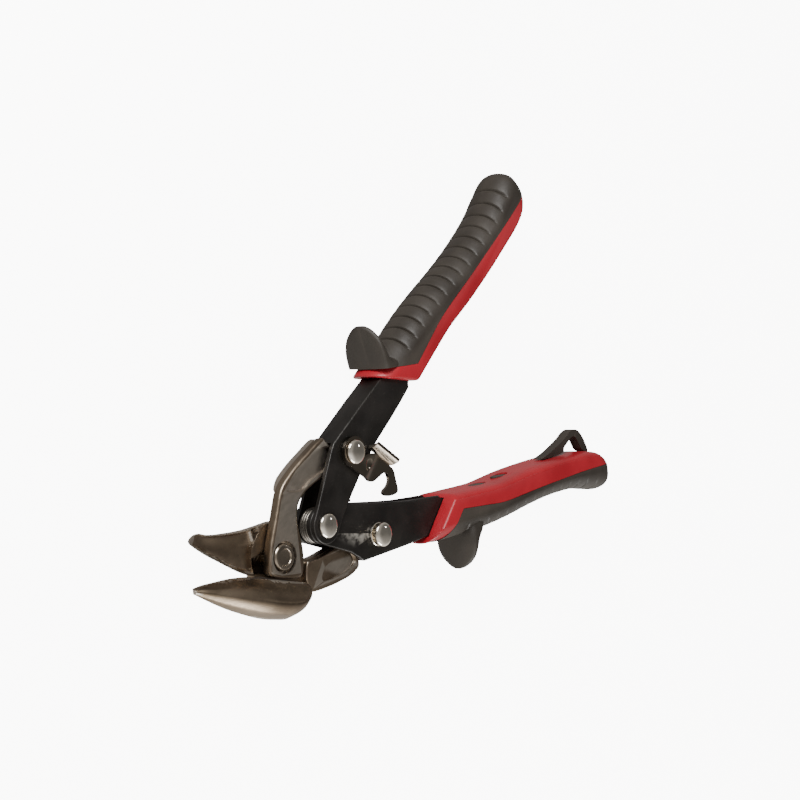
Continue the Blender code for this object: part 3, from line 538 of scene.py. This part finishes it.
def rubber(name):
    """Matt black overmould with a fine grain and its crests lightened as a painted highlight."""
    s = Shader(name, (0.040, 0.033, 0.028), 0.55, 0.0)
    cloud = s.noise(60.0, 4.0)
    tone = s.mix(s.ramp(cloud, 0.35, 0.7), (0.024, 0.019, 0.0145), (0.038, 0.031, 0.024))
    # Painted highlight: crests and edges lightened from how far the surface bulges there.
    tone = s.mix(s.maths("MULTIPLY", s.edge(0.51, 0.58), 0.30), tone, (0.085, 0.07, 0.055))
    grain = s.noise(2300.0, 3.0)
    shine = s.ramp(cloud, 0.3, 0.7, 0.46, 0.60)
    return s.finish(tone, shine, s.bump(grain, 0.22, 0.0002))


FORGED = steel("forged_steel_fine", (0.175, 0.134, 0.094), (0.285, 0.224, 0.162), 0.36, 0.4)
FORGED_FAR = steel("forged_steel_far", (0.185, 0.141, 0.10), (0.295, 0.232, 0.168), 0.38, -0.5)
DARK = steel("dark_steel_fine", (0.06, 0.053, 0.046), (0.13, 0.12, 0.105), 0.30, 0.0)
OXIDE = oxide("black_oxide_fine")
NICKEL = polished("nickel_fine", (0.95, 0.89, 0.79), 0.07)
# A darkened copy of the polished nickel: its dark tone is a painted reflection of dark surroundings on the
# plated latch.
LATCH_NICKEL_PAINTED_DARK = polished("latch_nickel_painted_dark_fine", (0.25, 0.215, 0.175), 0.14)
RED = plastic("red_plastic_fine")
BLACK = rubber("black_rubber_fine")


# ----------------------------------------------------------------------- blades
def jaw_section(row, side, hollow):
    """One jaw section as (depth, height); the inner face dips by the hollow."""
    out, edge, land, ridge, bulge, keel, land_z, ridge_z, bulge_z, keel_z = row
    middle = (bulge + keel) / 2
    back = keel - keel_z * 0.25
    shelf = [(land, land_z), ((land + ridge) / 2, (land_z + ridge_z) / 2 - 0.25), (ridge, ridge_z)]
    hull = [(ridge, ridge_z), ((ridge + bulge) / 2, (ridge_z + bulge_z) / 2 + bulge_z * 0.05),
            (bulge, bulge_z), (middle, bulge_z * 0.86), ((middle + keel) / 2, (bulge_z + keel_z) / 2),
            (keel, keel_z)]
    points = [(edge, SHEAR_GAP)] + spline_points(shelf, 4)[:-1] + spline_points(hull, 5) + [(back, SHEAR_GAP)]
    steps = 34
    for step in range(1, steps):
        share = 1.0 - step / steps
        depth = edge + (back - edge) * share
        points.append((depth, SHEAR_GAP + hollow(out, depth, share)))
    return points


def jaw(stations, angle, side, hollow):
    along = Vector((math.cos(math.radians(angle)), math.sin(math.radians(angle)), 0.0))
    deep = Vector((-along.y, along.x, 0.0)) * side
    rings = []
    for row in spline_points(stations, 12):
        ring = []
        for depth, height in jaw_section(row, side, hollow):
            ring.append((along * row[0] + deep * depth + Vector((0.0, 0.0, side * height))) * MM)
        rings.append(ring)
    return loft(rings, "jaw")


def no_hollow(out, depth, share):
    return 0.0


def make_near_blade():
    outline = NEAR_OUTER + arc(UPPER_RIVET, TAIL_END_R, 125, -145, 18) + NEAR_INNER
    blade = plate(rounded(outline, 2), SHEAR_GAP, 4.05, "blade", 0.9)
    settle(blade)
    pad_outline = NEAR_PAD_OUTER + arc(UPPER_RIVET, TAIL_END_R, 120, -140, 18) + NEAR_PAD_INNER
    pad = plate(rounded(pad_outline, 2), -2.05, 1.0)
    feather(pad)
    combine(blade, pad, "UNION")
    combine(blade, panel_cutter(NEAR_PANEL, 4.05, 1.1), "DIFFERENCE")
    combine(blade, jaw(NEAR_JAW, NEAR_JAW_ANGLE, 1, no_hollow), "UNION")
    drill(blade, (0, 0), 3.75, -5, 8)
    drill(blade, (0, 0), 5.75, 1.9, 12)
    drill(blade, UPPER_RIVET, 2.8, -5, 8)
    clean(blade)
    place(blade, "near_blade_fine", "row", FORGED, "near_blade", ["near_blade"], "forged_steel", 32.0)
    add_bevel(blade, 0.18, 2, 40.0)


def feather(pad):
    """Raise the thick tail's front so that it runs out into the thin plate without a step."""
    shape = bmesh.new()
    shape.from_mesh(pad.data)
    bmesh.ops.triangulate(shape, faces=shape.faces)
    for vert in shape.verts:
        away = vert.co.xy.length / MM
        if vert.co.z < 0.0:
            vert.co.z *= min(max((away - 22.3) / 5.0, 0.0), 1.0)
    shape.to_mesh(pad.data)
    shape.free()


def panel_cutter(outline, face, depth):
    """A shallow recess with sloping sides."""
    low = rounded(outline, 2)
    middle = Vector((sum(x for x, y in low) / len(low), sum(y for x, y in low) / len(low)))
    rings = []
    for height, grow in ((face - depth, 0.93), (face - depth * 0.75, 0.965), (face + 0.3, 1.03)):
        rings.append([Vector((middle.x + (x - middle.x) * grow, middle.y + (y - middle.y) * grow, height)) * MM
                      for x, y in low])
    return loft(rings, "panel")


def ease(value):
    value = min(max(value, 0.0), 1.0)
    return value * value * (3.0 - 2.0 * value)


def far_hollow(out, depth, share):
    """The relief in the far jaw's inner face, behind a narrow land along its cutting edge."""
    line = out - 0.62 * (depth + 5.75)
    rim = ease((depth_in(share, out) - 0.9) / 0.7) * ease((1.0 - share) / 0.10)
    face = HOLLOW * ease((line - HOLLOW_START) / 1.1) * ease((40.0 - out) / 9.0)
    pocket_dip = POCKET_DIP * ease((line - 1.2) / 0.8) * ease((HOLLOW_START - 0.5 - line) / 0.8)
    return rim * max(face * (0.55 + 0.45 * math.sin(math.pi * min(share * 1.15, 1.0))), pocket_dip)


def depth_in(share, out):
    """How far a share of the jaw's inner face is from its cutting edge."""
    row = [smooth_value(FAR_JAW, out, column) for column in (1, 5, 9)]
    return share * (row[1] - row[2] * 0.25 - row[0])


def make_far_blade():
    outline = arc((0, 0), BOSS_R, 250, -34, 40) + FAR_INNER + arc(LOWER_RIVET, TAIL_END_R, 140, -120, 18)
    outline += FAR_OUTER
    blade = plate(rounded(outline, 2), -4.05, -SHEAR_GAP, "blade", 0.5)
    settle(blade)
    pad_outline = FAR_PAD_INNER + arc(LOWER_RIVET, TAIL_END_R, 138, -118, 18) + FAR_PAD_OUTER
    combine(blade, plate(rounded(pad_outline, 2), -1.0, 2.05, bevel=0.8), "UNION")
    combine(blade, panel_cutter(FAR_PANEL, 2.05, 0.9), "DIFFERENCE")
    combine(blade, jaw(FAR_JAW, FAR_JAW_ANGLE, -1, far_hollow), "UNION")
    drill(blade, (0, 0), 4.1, -12, 5)
    drill(blade, (0, 0), 7.9, -14, -4.05)
    drill(blade, LOWER_RIVET, 2.8, -8, 5)
    clean(blade)
    place(blade, "far_blade_fine", "row", FORGED_FAR, "far_blade", ["far_blade"], "forged_steel", 32.0)
    add_bevel(blade, 0.18, 2, 40.0)


# --------------------------------------------------------------------- handles
def make_frame(side):
    shape = HANDLES[side]
    outline = arc((0, 0), FLANGE_END_R, 100, 290, 30) + shape["flange_inner"] + WEB_OUTER
    outline += shape["front_edge"]
    item = plate(outline, FLANGE_NARROW[0], FLANGE_WIDE[1], side + "_frame", 0.55)
    settle(item)
    front = shape["web_front"]
    inner_web = [(x, y - WEB_THICK) for x, y in WEB_OUTER]
    first = (front, shape["front_edge"][0][1] - WEB_THICK)
    hollow = [(-20, -20), (150, -20), (150, inner_web[0][1])] + inner_web + [first, (front, 30), (-20, 30)]
    combine(item, plate(hollow, FLANGE_NARROW[1], FLANGE_WIDE[0]), "DIFFERENCE")
    drill(item, (0, 0), 2.8, -9, 9)
    drill(item, TAIL_RIVET_LOCAL, 2.8, -9, 9)
    clean(item)
    node = side + "_frame"
    place(item, node + "_fine", side, OXIDE, side + "_handle", [node], "black_steel", 30.0)
    add_bevel(item, 0.16, 2, 50.0)


def grip_ring(along, grooves, lean=0.0, shrink=0.0, count=GRIP_RING):
    """One section of a grip; lean slants it like the collar's front, shrink rounds its lip."""
    inner = smooth_value(GRIP_INNER, along) + shrink
    outer = smooth_value(GRIP_OUTER, along) - shrink
    half = smooth_value(GRIP_HALF, along)
    flat = GRIP_FLAT - shrink
    middle = inner + (outer - inner) * 0.42
    ring = []
    for i in range(count):
        angle = 2 * math.pi * (i + 0.5) / count
        rise = math.sin(angle)
        power = OUTER_POWER if rise > 0 else INNER_POWER
        reach = outer - middle if rise > 0 else middle - inner
        across = half * signed_power(math.cos(angle), power)
        across = max(-flat, min(flat, across))
        outward = middle + reach * signed_power(rise, power)
        place_on = along - lean * outward
        if grooves and rise > 0:
            share = across / half
            fade = ease((rise - 0.40) / 0.30)
            dip = groove_dip(along) * fade
            across *= 1.0 - dip / 12.0
            outward -= dip * rise
            place_on -= GROOVE_BOW * share * share * ease(rise / 0.4) * (1.0 - ease((along - 156.0) / 8.0))
        ring.append(Vector((place_on, outward, across)) * MM)
    return ring


def groove_dip(along):
    """How deep the crescent grooves cut, at a place along the grip's back."""
    number = round((along - GROOVE_FIRST) / GROOVE_STEP)
    if number < 0 or number >= GROOVES:
        return 0.0
    away = along - (GROOVE_FIRST + number * GROOVE_STEP)
    cut = GROOVE_DEPTH * math.exp(-(away / GROOVE_HALF) ** 2)
    swell = 0.14 * (0.5 - abs(away) / GROOVE_STEP)
    return cut + swell


def stations():
    """Places along the grip: close together at each groove, wider between them."""
    places = [50.0, 56.0, 60.0, 64.0, 68.0, 71.0, 73.0]
    for number in range(GROOVES):
        centre = GROOVE_FIRST + number * GROOVE_STEP
        places += [centre + away for away in (-2.2, -1.3, -0.8, -0.5, -0.25, 0.0, 0.25, 0.5, 0.8, 1.3, 2.2)]
    return places + [162.4, 163.5, 164.8, 166.0, 167.1, 168.0, 168.8, 169.5, 170.1, 170.6, 170.95, 171.2, 171.3]


def core_rings(side):
    """The red half's sections: slanted and rounded at the collar's front, upright further back."""
    inner, outer = HANDLES[side]["collar_front"]
    slant = (inner - outer) / COLLAR_DEPTH
    rings = []
    lip = 1.5
    for step in range(6):
        share = step / 5
        shrink = lip * (1.0 - math.sqrt(1.0 - (1.0 - share) ** 2))
        rings.append(grip_ring(inner + lip * share, False, slant, shrink))
    for at in stations()[::2]:
        if at > inner + lip + 0.5:
            rings.append(grip_ring(at, False, slant * (1.0 - ease((at - inner - lip) / 26.0))))
    return rings


def guard(side):
    shape = HANDLES[side]
    base, top = GUARD_LEVELS[2][0], GUARD_LEVELS[-1][0]
    slope = (shape["guard_tip"] - shape["guard_root"]) / (top - base)
    rings = []
    for height, thick, half in spline_points(GUARD_LEVELS, 5):
        front = shape["guard_root"] + max(height - base, -2.0) * slope
        ring = []
        for i in range(64):
            angle = 2 * math.pi * (i + 0.5) / 64
            along = front + thick / 2 + thick / 2 * signed_power(math.sin(angle), 0.7)
            ring.append(Vector((along, height, half * signed_power(math.cos(angle), 0.7))) * MM)
        rings.append(ring)
    return loft(rings, "guard")


def collar_line(side, outward):
    inner, outer = HANDLES[side]["band_inner"], HANDLES[side]["band_outer"]
    start = COLOUR_LINE[0][1]
    return inner + (outward - start) * (outer - inner) / (COLLAR_DEPTH - start)


def colour_curve(side):
    return spline_points([(HANDLES[side]["band_inner"], COLOUR_LINE[0][1])] + COLOUR_LINE[1:], 6)


def pocket():
    outline = [(40.0, -0.1), (122.3, -0.1), (122.3, 7.9), (75.0, 11.95), (57.0, 13.15),
               (46.0, 14.55), (40.0, 15.3)]
    return plate(outline, FLANGE_NARROW[0] - GAP, FLANGE_WIDE[1] + GAP)


def make_core(side):
    item = loft(core_rings(side), "core")
    region = [(30.0, -8.0), (30.0, 18.0), (collar_line(side, 18.0), 18.0)] + colour_curve(side)
    region += [(180.0, -8.0)]
    combine(item, plate(region, -20, 20), "INTERSECT")
    combine(item, pocket(), "DIFFERENCE")
    for at in INLAY_PLACES.values():
        face = smooth_value(GRIP_INNER, at)
        combine(item, oval(at, face - 3.0, face + 0.9, 0.08), "DIFFERENCE")
    clean(item)
    node = side + "_grip_core"
    place(item, node + "_fine", side, RED, side + "_handle", [node], "red_plastic", 34.0)
    add_bevel(item, 0.25, 3, 40.0)


def oval(at, low, high, extra):
    rings = []
    for height in (low, high):
        ring = []
        for i in range(48):
            angle = 2 * math.pi * i / 48
            ring.append(Vector((at + (4.5 + extra) * math.cos(angle), height,
                                (2.5 + extra) * math.sin(angle))) * MM)
        rings.append(ring)
    return loft(rings, "oval")


def make_inlays(side):
    for label, at in INLAY_PLACES.items():
        face = smooth_value(GRIP_INNER, at)
        item = oval(at, face + 0.05, face + 0.6, 0.0)
        node = side + "_inlay_" + label
        place(item, node + "_fine", side, BLACK, side + "_handle", [node], "black_rubber", 50.0)


def make_overmold(side):
    item = loft([grip_ring(at, 1.0) for at in stations()], "cover")
    combine(item, guard(side), "UNION")
    line = [(x, y + SEAM) for x, y in colour_curve(side)]
    region = [(collar_line(side, 45.0) + SEAM * 2, 45.0)] + line + [(180.0, 45.0)]
    combine(item, plate(region, -20, 20), "INTERSECT")
    combine(item, pocket(), "DIFFERENCE")
    clean(item)
    node = side + "_grip_overmold"
    place(item, node + "_fine", side, BLACK, side + "_handle", [node], "black_rubber", 38.0)


def make_loop():
    item = plate(rounded(LOOP_OUTLINE, 3, 0.25), -LOOP_HALF, LOOP_HALF, "loop")
    settle(item)
    place(item, "hang_loop_fine", "lower", BLACK, "lower_handle", ["hang_loop"], "black_rubber", 40.0)
    add_bevel(item, 0.8, 4, 40.0)


# ----------------------------------------------------------- round fastenings
def dome(radius, height, base, rim, upward=1, steps=14):
    points = []
    for step in range(steps + 1):
        angle = math.pi / 2 * (1 - step / steps)
        points.append((radius * math.cos(angle) if step else 0.0,
                       base + upward * (rim + (height - rim) * math.sin(angle))))
    return points


def make_rivet(node, at, head, peen, body, collar=None):
    profile = dome(4.4, 1.9, head, 0.4) + [(4.4, head + 0.12), (4.25, head)]
    if collar:
        profile += [(1.9, head), (1.9, collar[1]), (4.15, collar[1]), (4.3, collar[1] - 0.15),
                    (4.3, collar[0]), (2.5, collar[0])]
    else:
        profile += [(2.5, head)]
    profile += [(2.5, peen), (3.75, peen), (3.9, peen - 0.12)] + dome(3.9, 1.3, peen, 0.3, -1)[::-1]
    item = turned(profile, node)
    item.data.transform(Matrix.Translation(Vector((at[0], at[1], 0.0)) * MM))
    place(item, node + "_fine", "row", NICKEL, body, [node], "chrome", 40.0)


def make_pivot():
    profile = [(0.0, 3.72), (0.7, 3.70), (1.5, 3.78), (2.3, 3.74), (2.75, 3.82), (2.95, 4.2), (3.1, 4.3),
               (4.15, 4.3), (4.35, 4.22), (4.8, 3.7), (4.9, 3.5), (4.9, 2.3), (4.8, 2.2), (3.5, 2.2),
               (3.5, -9.5), (3.0, -10.0), (0.0, -10.0)]
    place(turned(profile, "bolt"), "pivot_bolt_fine", "row", BOLT_STEEL, "near_blade", ["pivot_bolt"],
          "chrome", 30.0)
    for node, radius, top, low in (("pivot_washer", 7.2, -4.35, -5.2),
                                   ("pivot_lock_washer", 6.0, -5.5, -6.3)):
        ring = [(radius - 0.15, top), (radius, top - 0.15), (radius, low + 0.15), (radius - 0.15, low),
                (3.9, low), (3.75, low + 0.1), (3.75, top - 0.1), (3.9, top)]
        place(turned(ring, node), node + "_fine", "row", DARK, "near_blade", [node], "dark_steel", 50.0)
    nut = plate(arc((0, 0), 6.6, 0, 300, 5), -9.4, -6.6, "nut")
    drill(nut, (0, 0), 3.75, -15, 0)
    clean(nut)
    place(nut, "pivot_nut_fine", "row", DARK, "near_blade", ["pivot_nut"], "dark_steel", 30.0)
    add_bevel(nut, 0.25, 3, 40.0)


def make_bush():
    ring = [(4.5, 2.0), (4.6, 1.9), (4.6, -1.9), (4.5, -2.0), (2.95, -2.0), (2.85, -1.9), (2.85, 1.9),
            (2.95, 2.0)]
    item = turned(ring, "bush")
    item.data.transform(Matrix.Translation(Vector((FULCRUM_X, 0.0, 0.0)) * MM))
    place(item, "spring_bush_fine", "row", DARK, "lower_handle", ["spring_bush"], "dark_steel", 50.0)


def make_washer():
    ring = [(5.1, 6.5), (5.2, 6.42), (5.2, 6.28), (5.1, 6.2), (2.9, 6.2), (2.8, 6.28), (2.8, 6.42), (2.9, 6.5)]
    item = turned(ring, "washer")
    item.data.transform(Matrix.Translation(Vector((*UPPER_RIVET, 0.0)) * MM))
    place(item, "latch_spring_washer_fine", "row", NICKEL, "upper_handle", ["latch_spring_washer"],
          "chrome", 50.0)


# ----------------------------------------------------------------------- latch
def make_latch():
    outline = arc((0, 0), LATCH_END_R, -20, 205, 30) + rounded(LATCH_OUTLINE, 2, 0.25)[2:-2]
    item = plate(outline, LATCH_Z[0], LATCH_Z[1], "latch")
    along = Vector((*LATCH_AXIS, 0.0)).normalized()
    start, end = LATCH_BEND
    shape = bmesh.new()
    shape.from_mesh(item.data)
    for step in range(7):
        distance = start + (end - start) * step / 6
        geometry = shape.verts[:] + shape.edges[:] + shape.faces[:]
        bmesh.ops.bisect_plane(shape, geom=geometry, dist=0.000001, plane_co=along * distance * MM,
                               plane_no=along)
    for vert in shape.verts:
        share = max(0.0, min(1.0, (vert.co.dot(along) / MM - start) / (end - start)))
        vert.co.z -= LATCH_DROP * MM * share * share * (3 - 2 * share)
    bmesh.ops.recalc_face_normals(shape, faces=shape.faces)
    shape.to_mesh(item.data)
    shape.free()
    combine(item, tab(), "UNION")
    combine(item, dimple(), "DIFFERENCE")
    drill(item, (0, 0), 2.8, 0, 15)
    item.data.transform(Matrix.Translation(Vector((*UPPER_RIVET, 0.0)) * MM))
    clean(item)
    place(item, "latch_fine", "row", LATCH_NICKEL_PAINTED_DARK, "latch", ["latch"], "chrome", 30.0)
    add_bevel(item, 0.22, 3, 30.0)


def dimple():
    """The ball that presses the latch's dimple."""
    profile = dome(5.0, 5.0, 0.0, 0.0, -1, 20)[::-1]
    ball = turned([(0.0, 5.0)] + dome(5.0, 5.0, 0.0, 0.0)[1:-1] + profile, "ball", 40)
    ball.data.transform(Matrix.Translation(Vector((4.9, -8.1, LATCH_Z[1] + 4.35)) * MM))
    return ball


def tab():
    start, end = Vector(TAB_FOOT[0]), Vector(TAB_FOOT[1])
    line = (end - start).normalized()
    out = Vector((-line.y, line.x))
    rings = []
    for height, lean in ((LATCH_Z[0] - 0.3, 0.0), (8.2, 0.2), (9.4, 0.9), (TAB_TOP, TAB_LEAN)):
        corners = [start + out * lean, end + out * lean, end + out * (lean + TAB_THICK),
                   start + out * (lean + TAB_THICK)]
        rings.append([Vector((c.x, c.y, height)) * MM for c in corners])
    return loft(rings, "tab")


# ---------------------------------------------------------------------- spring
def leg_angle(leg):
    return math.atan2(leg[1], leg[0]) - math.acos(COIL_R / math.hypot(*leg))


def leg_end(leg):
    return (leg[0] * math.cos(HANDLE_ANGLE) - leg[1] * math.sin(HANDLE_ANGLE),
            leg[0] * math.sin(HANDLE_ANGLE) + leg[1] * math.cos(HANDLE_ANGLE))


def make_spring():
    upper, lower = HANDLES["upper"]["spring_leg"], HANDLES["lower"]["spring_leg"]
    first = HANDLE_ANGLE + leg_angle(upper)
    last = -HANDLE_ANGLE - leg_angle(lower) - 6 * math.pi
    x, y = leg_end(upper)
    path = [(x, y, -COIL_HALF - LEG_HOOK), (x, y, -COIL_HALF)]
    steps = 150
    for step in range(steps + 1):
        angle = first + (last - first) * step / steps
        path.append((COIL_R * math.cos(angle), COIL_R * math.sin(angle),
                     -COIL_HALF + 2 * COIL_HALF * step / steps))
    x, y = leg_end(lower)
    path += [(x, -y, COIL_HALF), (x, -y, COIL_HALF + LEG_HOOK)]
    curve = bpy.data.curves.new("spring", "CURVE")
    curve.dimensions = "3D"
    curve.bevel_depth = WIRE_R * MM
    curve.bevel_resolution = 4
    curve.use_fill_caps = True
    spline = curve.splines.new("POLY")
    spline.points.add(len(path) - 1)
    for point, at in zip(spline.points, path):
        point.co = (*(Vector((at[0] + FULCRUM_X, at[1], at[2])) * MM), 1.0)
    wire = link(curve, "spring")
    mesh = bpy.data.meshes.new_from_object(wire.evaluated_get(bpy.context.evaluated_depsgraph_get()))
    drop(wire)
    item = link(mesh, "torsion_spring_fine")
    mesh.transform(ROW)
    mesh.materials.clear()
    mesh.materials.append(DARK)
    mesh.shade_smooth()
    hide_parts("torsion_spring")
    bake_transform(item)


BOLT_STEEL = polished("bolt_steel_fine", (0.36, 0.305, 0.245), 0.24)

make_near_blade()
make_far_blade()
for side in ("upper", "lower"):
    make_frame(side)
    make_core(side)
    make_overmold(side)
    make_inlays(side)
make_loop()
make_rivet("fulcrum_rivet", (FULCRUM_X, 0.0), 6.2, -6.2, "lower_handle")
make_rivet("upper_tail_rivet", UPPER_RIVET, 8.1, -4.2, "upper_handle")
make_rivet("lower_tail_rivet", LOWER_RIVET, 6.8, -6.2, "lower_handle", collar=(4.2, 5.1))
make_pivot()
make_bush()
make_washer()
make_latch()
make_spring()


# -------------------------------------------------------------- studio and camera
def emitter(name, centre, target, width, height, power, colour=(1.0, 1.0, 1.0)):
    light = bpy.data.lights.new(name, "AREA")
    light.shape = "RECTANGLE"
    light.size = width
    light.size_y = height
    light.energy = power
    light.color = colour
    item = bpy.data.objects.new(name, light)
    bpy.context.scene.collection.objects.link(item)
    item.location = centre
    item.rotation_euler = (Vector(target) - Vector(centre)).to_track_quat("-Z", "Y").to_euler()
    return item


def make_lights():
    emitter("key", (-0.35, -0.75, 0.25), (-0.02, 0.0, 0.0), 0.6, 0.35, 6.0)
    emitter("top", (-0.15, 0.75, 0.40), (-0.02, 0.0, 0.0), 0.5, 0.35, 9.0)
    emitter("glint", (0.50, -0.066, 0.46), (-0.04, 0.0, 0.0), 0.04, 0.04, 0.12)


def make_world():
    """A soft studio: brightest towards the bench's front, with a dark flag opposite the view."""
    world = bpy.data.worlds.new("studio")
    bpy.context.scene.world = world
    world.use_nodes = True
    tree = world.node_tree
    where = tree.nodes.new("ShaderNodeTexCoord").outputs["Generated"]

    def toward(direction, low, high, out_low, out_high):
        facing = tree.nodes.new("ShaderNodeVectorMath")
        facing.operation = "DOT_PRODUCT"
        tree.links.new(where, facing.inputs[0])
        facing.inputs[1].default_value = Vector(direction).normalized()
        ramp = tree.nodes.new("ShaderNodeMapRange")
        ramp.interpolation_type = "SMOOTHSTEP"
        tree.links.new(facing.outputs["Value"], ramp.inputs["Value"])
        for key, value in zip(("From Min", "From Max", "To Min", "To Max"), (low, high, out_low, out_high)):
            ramp.inputs[key].default_value = value
        return ramp.outputs["Result"]

    glow = tree.nodes.new("ShaderNodeMath")
    glow.operation = "MULTIPLY"
    tree.links.new(toward(BRIGHT_SIDE, -0.05, 0.55, WORLD_DIM, WORLD_BRIGHT), glow.inputs[0])
    tree.links.new(toward(FLAG_SIDE, 0.60, 0.93, 1.0, FLAG_SHADE), glow.inputs[1])
    background = tree.nodes["Background"]
    background.inputs["Color"].default_value = (1.0, 0.965, 0.92, 1.0)
    tree.links.new(glow.outputs["Value"], background.inputs["Strength"])


def make_floor():
    shape = bmesh.new()
    bmesh.ops.create_grid(shape, x_segments=1, y_segments=1, size=6.0)
    mesh = bpy.data.meshes.new("floor")
    shape.to_mesh(mesh)
    shape.free()
    item = link(mesh, "floor")
    item.location.z = -0.0002
    material = bpy.data.materials.new("floor_white")
    material.use_nodes = True
    shader = material.node_tree.nodes["Principled BSDF"]
    shader.inputs["Base Color"].default_value = (0.92, 0.92, 0.92, 1.0)
    shader.inputs["Roughness"].default_value = 0.9
    shader.inputs["Specular IOR Level"].default_value = 0.1
    shader.inputs["Emission Color"].default_value = (1.0, 0.995, 0.985, 1.0)
    shader.inputs["Emission Strength"].default_value = FLOOR_GLOW
    mesh.materials.append(material)
    item.visible_glossy = False
    item.visible_diffuse = False


def make_camera():
    """The view is worked out in an upright frame whose X follows the camera's first plan."""
    turn, rise = math.radians(48.75), math.radians(-1.15)
    right = Vector((math.cos(turn), -math.sin(turn), 0.0))
    back = Vector((-math.sin(turn) * math.cos(rise), -math.cos(turn) * math.cos(rise), math.sin(rise)))
    up = back.cross(right)
    start = Vector((0.0, -4.5, 0.0))
    centre = start - right * AIM_RIGHT - up * AIM_UP + back * CAMERA_AWAY
    beta = math.radians(28.25)

    def to_row(v):
        return Vector((v.x * math.cos(beta) + v.z * math.sin(beta),
                       -v.x * math.sin(beta) + v.z * math.cos(beta), -v.y))

    data = bpy.data.cameras.new("camera")
    data.lens = SENSOR * CAMERA_AWAY / VIEW_WIDTH
    data.sensor_width = SENSOR
    data.shift_x = 0.005
    data.shift_y = -0.005
    data.clip_start = 0.01
    data.dof.use_dof = False
    camera = bpy.data.objects.new("camera", data)
    bpy.context.scene.collection.objects.link(camera)
    axes = [to_row(right), to_row(up), to_row(back)]
    turned_axes = Matrix((axes[0], axes[1], axes[2])).transposed().to_4x4()
    camera.matrix_world = ROW @ Matrix.Translation(to_row(centre) * MM) @ turned_axes
    bpy.context.scene.camera = camera


FLOOR_GLOW = 9.0
BRIGHT_SIDE = (-0.46, -0.888, 0.0)
FLAG_SIDE = (0.67, -0.34, 0.66)
FLAG_SHADE = 0.36
WORLD_DIM = 0.36
WORLD_BRIGHT = 1.0
CAMERA_AWAY = 700.0
AIM_RIGHT = -38.06
AIM_UP = -55.88
VIEW_WIDTH = 276.8
SENSOR = 36.0

make_world()
make_floor()
make_camera()
make_lights()
